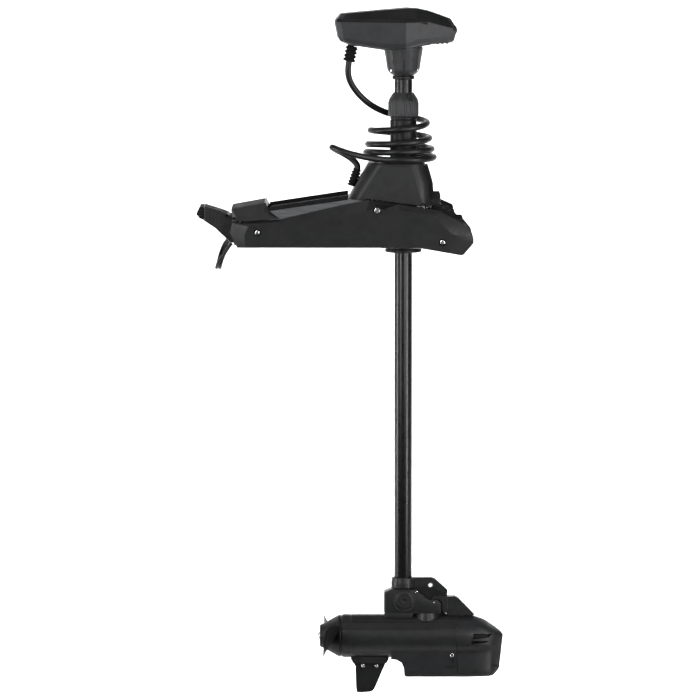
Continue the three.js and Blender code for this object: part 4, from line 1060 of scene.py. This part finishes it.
# darker web that fills in behind the arm, with the stepped edge of the clamp on it
web = slab("knuckle_web", [(214, -748), (262, -748), (296.6, -763.9), (296.6, -830), (214, -830)], -8.5, 8.5, 0)
boolean(web, motor_cut())
boolean(web, cyl_y(5.2, -30, 30, (259.7, -746.0)))
bevel(web, 0.8, 2, 30, 32)
finish(web, DARK, "shaft")
clamp = slab("knuckle_clamp", [(262, -776.8), (268, -768.5), (291.5, -768.5), (297.8, -776), (297.8, -801), (291, -810), (284.4, -800), (284.4, -782.6), (277.8, -776.0)], -15.5, 15.5, 0.9, 3)
finish(clamp, PAINT, "shaft")
CAPC = (202.4, -777.2)
cap_prof = [(0, -29.2), (4.2, -29.2), (4.6, -31.3), (8.6, -31.4), (9.2, -30.4), (12.2, -30.4), (12.8, -31.4), (16.4, -31.3), (17.2, -30.4), (17.6, -28.9), (20.6, -28.7), (21.2, -27.9), (22.2, -27.9), (22.8, -28.6), (24.6, -28.4), (25, -27.4), (25, -25.4), (0, -25.4)]
kc = lathe("knuckle_swivel_cap", rounded(cap_prof, 0.35, 2), "y", CAPC, 96)
finish(kc, PAINT, "shaft", "knuckle_cap")
for k in range(6):
    a = math.radians(30 + 60 * k)
    pin = lathe("cap_rivet_%d" % k, rounded([(0, -30.2), (1.3, -30.2), (1.3, -31.1), (0, -31.1)], 0.3, 2), "y", (CAPC[0] + 10.7 * math.cos(a), CAPC[1] + 10.7 * math.sin(a)), 20)
    finish(pin, DARK, "shaft")
post = lathe("swivel_column", rounded([(0, -840), (34, -840), (32.6, -826), (30.4, -814), (29.2, -805.4), (0, -805.4)], 0.9, 3), "z", (250.5, 0), 96)
boolean(post, motor_cut())
finish(shade(post, 30), PAINT, "shaft", "swivel_post")
wedge = slab("nose_web", [(293.3, -769.8), (312.5, -769.3), (321, -773.5), (340, -793), (360.0, -814.4), (362, -827.5), (295.5, -827.5)], -13, 13, 0)
boolean(wedge, motor_cut())
bevel(wedge, 1.2, 3, 30, 32)
finish(wedge, PAINT, "shaft", "nose_wedge")
for k, (sx, sz) in enumerate(((229.8, -751.6), (267.6, -777.4), (293.0, -806.4))):
    yy = (-25.4, -25.4, -15.4)[k]
    b = lathe("knuckle_bolt_%d" % k, rounded([(0, yy), (2.3, yy), (2.3, yy - 1.2), (1.7, yy - 1.8), (0, yy - 1.9)], 0.3, 2), "y", (sx, sz - (6 if k == 0 else 4 if k == 1 else 0)), 28)
    finish(b, STEEL, "shaft")

# ---------------------------------------------------------------- motor pod
def motor_r(r0):
    def f(a):
        z = math.degrees(math.asin(max(-1, min(1, math.sin(a)))))
        r = r0
        if 25 <= z <= 44.5:        # flat band along each shoulder
            m = math.radians(34.75)
            r = (r0 + 0.15) * math.cos(math.radians(9.75)) / math.cos(math.radians(z) - m)
        elif 44.5 < z < 47.0:      # groove above it
            r = r0 - 2.0 * math.sin(math.pi * (z - 44.5) / 2.5)
        elif 22.5 < z < 25:
            r = r0 - 0.5
        elif -44.0 < z < -42.2:    # casting line low on the side
            r = r0 - 0.55 * math.sin(math.pi * (z + 44.0) / 1.8)
        return r
    return f


verts, faces = [], []
n = 360
outer = [(40.0, 64.6), (44.6, 64.6), (46.2, 66.2), (47.1, 69.2), (47.5, 72.0), (47.5, 84.0), (46.9, 84.6), (46.9, 86.0), (47.5, 86.6), (47.5, 200.0), (47.5, 316.6), (46.6, 317.8), (46.6, 319.4), (42.8, 319.4)]
inner_p = [(42.8, 72.2), (7.6, 72.2), (7.6, 64.6)]
rings = []
for i in range(n):
    a = 2 * math.pi * i / n
    row = []
    for r, x in outer:
        rr = motor_r(r)(a) if r > 46.95 else r
        row.append((x, rr * math.cos(a), MZ + rr * math.sin(a)))
    for r, x in inner_p:
        row.append((x, r * math.cos(a), MZ + r * math.sin(a)))
    rings.append(row)
k = len(rings[0])
for row in rings:
    verts += [P(*p) for p in row]
for i in range(n):
    j = (i + 1) % n
    for q in range(k):
        faces.append((i * k + q, j * k + q, j * k + (q + 1) % k, i * k + (q + 1) % k))
mh = shade(make("motor_can", verts, faces), 24)
finish(mh, PAINT, "shaft", "motor_housing")
for kk in range(4):
    a = math.radians(45 + 90 * kk)
    b = lathe("through_bolt_%d" % kk, rounded([(0, 65.4), (3.1, 65.4), (3.1, 63.6), (2.2, 62.9), (0, 62.8)], 0.3, 2), "x", (36.5 * math.cos(a), MZ + 36.5 * math.sin(a)), 28)
    finish(b, STEEL, "shaft")

seal = lathe("motor_seal_disc", rounded([(8, 58.6), (42.4, 58.6), (42.4, 65.4), (8, 65.4)], 0.5, 2), "x", (0, MZ), 96)
finish(seal, RUBBER, "shaft")
KEYS = [(319.0, -811.0, 46.6, 38, -944.6, 9), (340, -811.6, 45.6, 37.4, -944.6, 9), (360, -814.6, 43, 36, -944.6, 10), (378, -821.6, 38.2, 32.8, -944.5, 11), (391, -829.8, 32, 28, -944.2, 12),
        (402, -837.5, 24.6, 21.6, -942.4, 11), (410, -843.8, 17, 14.4, -938, 9), (416, -850, 9.2, 8.0, -932.4, 6), (418.8, -854.5, 4.2, 3.8, -927, 3)]


def nose_ring(x, tp, hw, hb, lo, r):
    rake = lambda z: ((x - 390) / 28.8) ** 1.2 * 10 * ((tp - z) / 90) if x > 390 else 0
    rz = max(tp - MZ, 4)
    pts = [(hw * math.cos(math.radians(a)), MZ + rz * math.sin(math.radians(a))) for a in range(90, -1, -6)]
    pts += [(hw, MZ - 6), (hw * 0.985 + hb * 0.015, MZ - 14)]
    for i in range(1, 6):
        f = i / 6
        g = f * f * (3 - 2 * f)
        pts.append((hw * (1 - g) + hb * g, MZ - 14 - 18 * f))
    pts.append((hb, MZ - 34))
    for i in range(5):
        pts.append((hb, MZ - 34 + (lo + r - MZ + 34) * (i + 1) / 5))
    for i in range(1, 7):
        a = math.radians(90 * i / 6)
        pts.append((max(hb - r * (1 - math.cos(a)), 0.6), lo + r - r * math.sin(a)))
    left = [(-y, z) for y, z in reversed(pts[1:])]
    return [(x - rake(z), y, z) for y, z in pts + left]


nk = []
for i in range(len(KEYS) - 1):
    for t in range(4):
        f = t / 4
        p0 = KEYS[max(i - 1, 0)]
        p1, p2 = KEYS[i], KEYS[i + 1]
        p3 = KEYS[min(i + 2, len(KEYS) - 1)]
        nk.append(tuple(0.5 * (2 * b + (c - a) * f + (2 * a - 5 * b + 4 * c - d) * f * f + (-a + 3 * b - 3 * c + d) * f ** 3) for a, b, c, d in zip(p0, p1, p2, p3)))
nk.append(KEYS[-1])
nose = loft("nose_shell", [nose_ring(*q) for q in nk], 0)
for tag, s in (("n", -1), ("f", 1)):
    y0, y1 = sorted((s * 12, s * 60))
    for line in ([(352, -847.2), (398, -849.6), (388, -857.6), (350, -860.4)], [(348.6, -862.4), (390, -864.6), (386, -868.2), (346.6, -871.4)]):
        mid = shrunk(line, 0.82)
        c = loft("cut", [at(line, s * 60), at(mid, s * 22)], 0)
        boolean(nose, c)
shade(nose, 26)
finish(nose, SONAR, "shaft", "nose_cone")
for s in (-1, 1):
    # painted shade: dark plates at the back of the intake slots, standing in for the shadow deep in them
    slot_shade_plate = slab("intake_slot_shade_%d" % s, [(345, -845), (402, -845), (396, -872), (343, -873)], *sorted((s * 21.5, s * 24.5)), 0.3, 1)
    finish(slot_shade_plate, GROOVE_SHADE, "shaft")
    # painted shade: a dark strip at the housing-to-nose seam, standing in for the shadow in the slot there
    slit = slab("seam_slot_%d" % s, [(315.6, -834.0), (318.6, -834.0), (318.2, -847.6), (315.2, -847.6)], *sorted((s * 36, s * 45.0)), 0)
    for v in slit.data.vertices:
        v.co.y += s * 0.0012 * (-(v.co.z * 1000 + 840.8)) / 6.8 * 0.9
    finish(slit, GROOVE_SHADE, "shaft")
SK = [(173.4, -883.4), (280.2, -883.4), (318.9, -883.4), (318.9, -943.4), (206, -943.4), (202.6, -940), (201.3, -924.5), (196.7, -912.9), (185.4, -906), (173.4, -904.4)]
sk = loft("sonar_tray", [at(shrunk(SK, 0.985), -38), at(SK, -36.6), at(SK, 36.6), at(shrunk(SK, 0.985), 38)], 0)
boolean(sk, motor_cut(MR + 0.3))
for s in (-1, 1):
    y0, y1 = sorted((s * 37.2, s * 60))
    boolean(sk, slab("cut", [(303.4, -902.2), (311.4, -902.2), (309.4, -913.6), (304.4, -913.6)], *sorted((s * 34.5, s * 60)), 0))
    boolean(sk, slab("cut", [(289.4, -920.9), (315.4, -920.9), (315.4, -923.0), (289.4, -922.4)], *sorted((s * 34.8, s * 60)), 0))
bevel(sk, 0.8, 3, 26, 32)
finish(sk, SONAR, "shaft", "sonar_skirt")
for s in (-1, 1):
    b = lathe("tray_screw_%d" % s, rounded([(0, s * 37.6), (4.2, s * 37.6), (4.2, s * 38.9), (3.2, s * 39.7), (0, s * 39.8)], 0.3, 2), "y", (306.9, -895.6), 32)
    boolean(b, slab("cut", [(303.5, -896.2), (310.5, -896.2), (310.5, -895.2), (303.5, -895.2)], *sorted((s * 39.0, s * 44)), 0))
    finish(shade(b, 30), STEEL, "shaft")

for s in (-1, 1):
    # painted shade: a dark strip along the nose seam, standing in for the shadow in the joint
    seam_shade_strip = slab("nose_seam_%d" % s, [(395, -921.4), (406.5, -920.8), (406.5, -922.8), (395, -922.6)], *sorted((s * 6, s * 27.5)), 0)
    finish(seam_shade_strip, GROOVE_SHADE, "shaft")

# fin and its bracket
BR = [(85.8, -892.9), (169.9, -892.9), (168.6, -908.2), (163.4, -916.7), (91.4, -916.7), (85.8, -907.3)]
fb_ = slab("fin_saddle", BR, -16, 16, 0)
boolean(fb_, motor_cut())
bevel(fb_, 1.0, 3, 25, 32)
finish(fb_, PAINT, "shaft", "fin_bracket")
FIN = [(92.5, -917.3), (162.5, -917.3), (155, -934), (139.8, -969.8), (134.6, -978.6), (129, -981.2), (120, -982.2), (103, -983.0), (98.6, -981.8), (97.2, -970), (95.8, -925.6)]
fn = loft("fin_blade", [at(shrunk(FIN, 0.93), -3.1), at(shrunk(FIN, 0.985), -2.5), at(FIN, -1.2), at(FIN, 1.2), at(shrunk(FIN, 0.985), 2.5), at(shrunk(FIN, 0.93), 3.1)], 0)
bevel(fn, 0.7, 2, 20, 30)
finish(fn, DARK, "shaft", "fin")
for k, x in enumerate((112.9, 142.4)):
    for s in (-1, 1):
        b = lathe("fin_screw_%d_%d" % (k, s), rounded([(0, s * 2.7), (3.7, s * 2.7), (3.7, s * 4.2), (2.6, s * 5.0), (0, s * 5.1)], 0.3, 2), "y", (x, -923.4), 28)
        finish(b, STEEL, "shaft")

# propeller
BL = [(36, 46, 58, 32, 7.6), (47, 44.6, 63, 28.5, 7.0), (58, 43, 66, 25, 6.5), (74, 39.6, 68, 20, 5.8), (90, 36, 68, 15, 5), (106, 33, 66, 11.6, 4.3), (120, 30.5, 63, 9, 3.8), (132, 28.7, 57, 7, 3.2),
      (140, 27.8, 49, 5.4, 2.7), (144.4, 27.3, 38, 4.4, 2.2), (145.8, 27, 28, 4, 1.6)]


def blade(side):
    rings = []
    for y, x, chord, deg, t in BL:
        a = math.radians(deg)
        ring = []
        for i in range(28):
            u = 2 * math.pi * i / 28
            s = 0.5 * math.cos(u)
            th = 0.5 * (1 - (2 * s) ** 2) ** 0.5 * (1.0 if math.sin(u) > 0 else 0.62) * (1 + 0.35 * s)
            h = (th if math.sin(u) > 0 else -th) * t + 0.012 * chord * (1 - 4 * s * s)
            al = s * chord
            ring.append((x - side * al * math.sin(a) + h * math.cos(a), side * y, MZ + al * math.cos(a) + side * h * math.sin(a)))
        rings.append(ring)
    return loft("blade", rings, 0, sharp=60)


hub = lathe("propeller_rotor", rounded([(0, 17.8), (22.6, 17.8), (24.8, 19.6), (25.6, 23), (45.2, 58.4), (46, 61), (46, 64.2), (43, 64.2), (43, 58), (0, 58)], 0.9, 3), "x", (0, MZ), 96)
boolean(hub, blade(-1), "UNION")
boolean(hub, blade(1), "UNION")
shade(hub, 34)
finish(hub, DARK, "propeller", "propeller")
nut = lathe("propeller_nut", rounded([(0, 13.8), (6.5, 13.8), (9.4, 16.0), (9.4, 18.6), (0, 18.6)], 0.5, 2), "x", (0, MZ), 6)
nut2 = lathe("propeller_washer", rounded([(0, 17.2), (13.4, 17.2), (13.4, 18.4), (0, 18.4)], 0.3, 2), "x", (0, MZ), 48)
finish(nut, STEEL, "propeller")
finish(nut2, STEEL, "propeller")
# ---------------------------------------------------------------- CAD nodes that stay
keep("deck_base_plate", ALLOY, 0.6)
keep("rail_starboard", ALLOY, 0.5)
keep("rail_port", ALLOY, 0.5)
keep("tilt_bolt", STEEL, 0.4)
keep("pedal_pin", STEEL, 0.4)
keep("latch_bar", ALLOY, 0.5)
keep("lower_housing", DARK, 1.0)
keep("upper_bearing", ALLOY, 0.4)
keep("steer_motor", ALLOY, 0.6)
keep("steering_gear", STEEL, 0.2)
keep("steer_pinion", STEEL, 0.2)
keep("circuit_board", BOARD, 0.2)
keep("motor_stator", CORE, 0.4)
keep("motor_rotor", COPPER, 0.4)
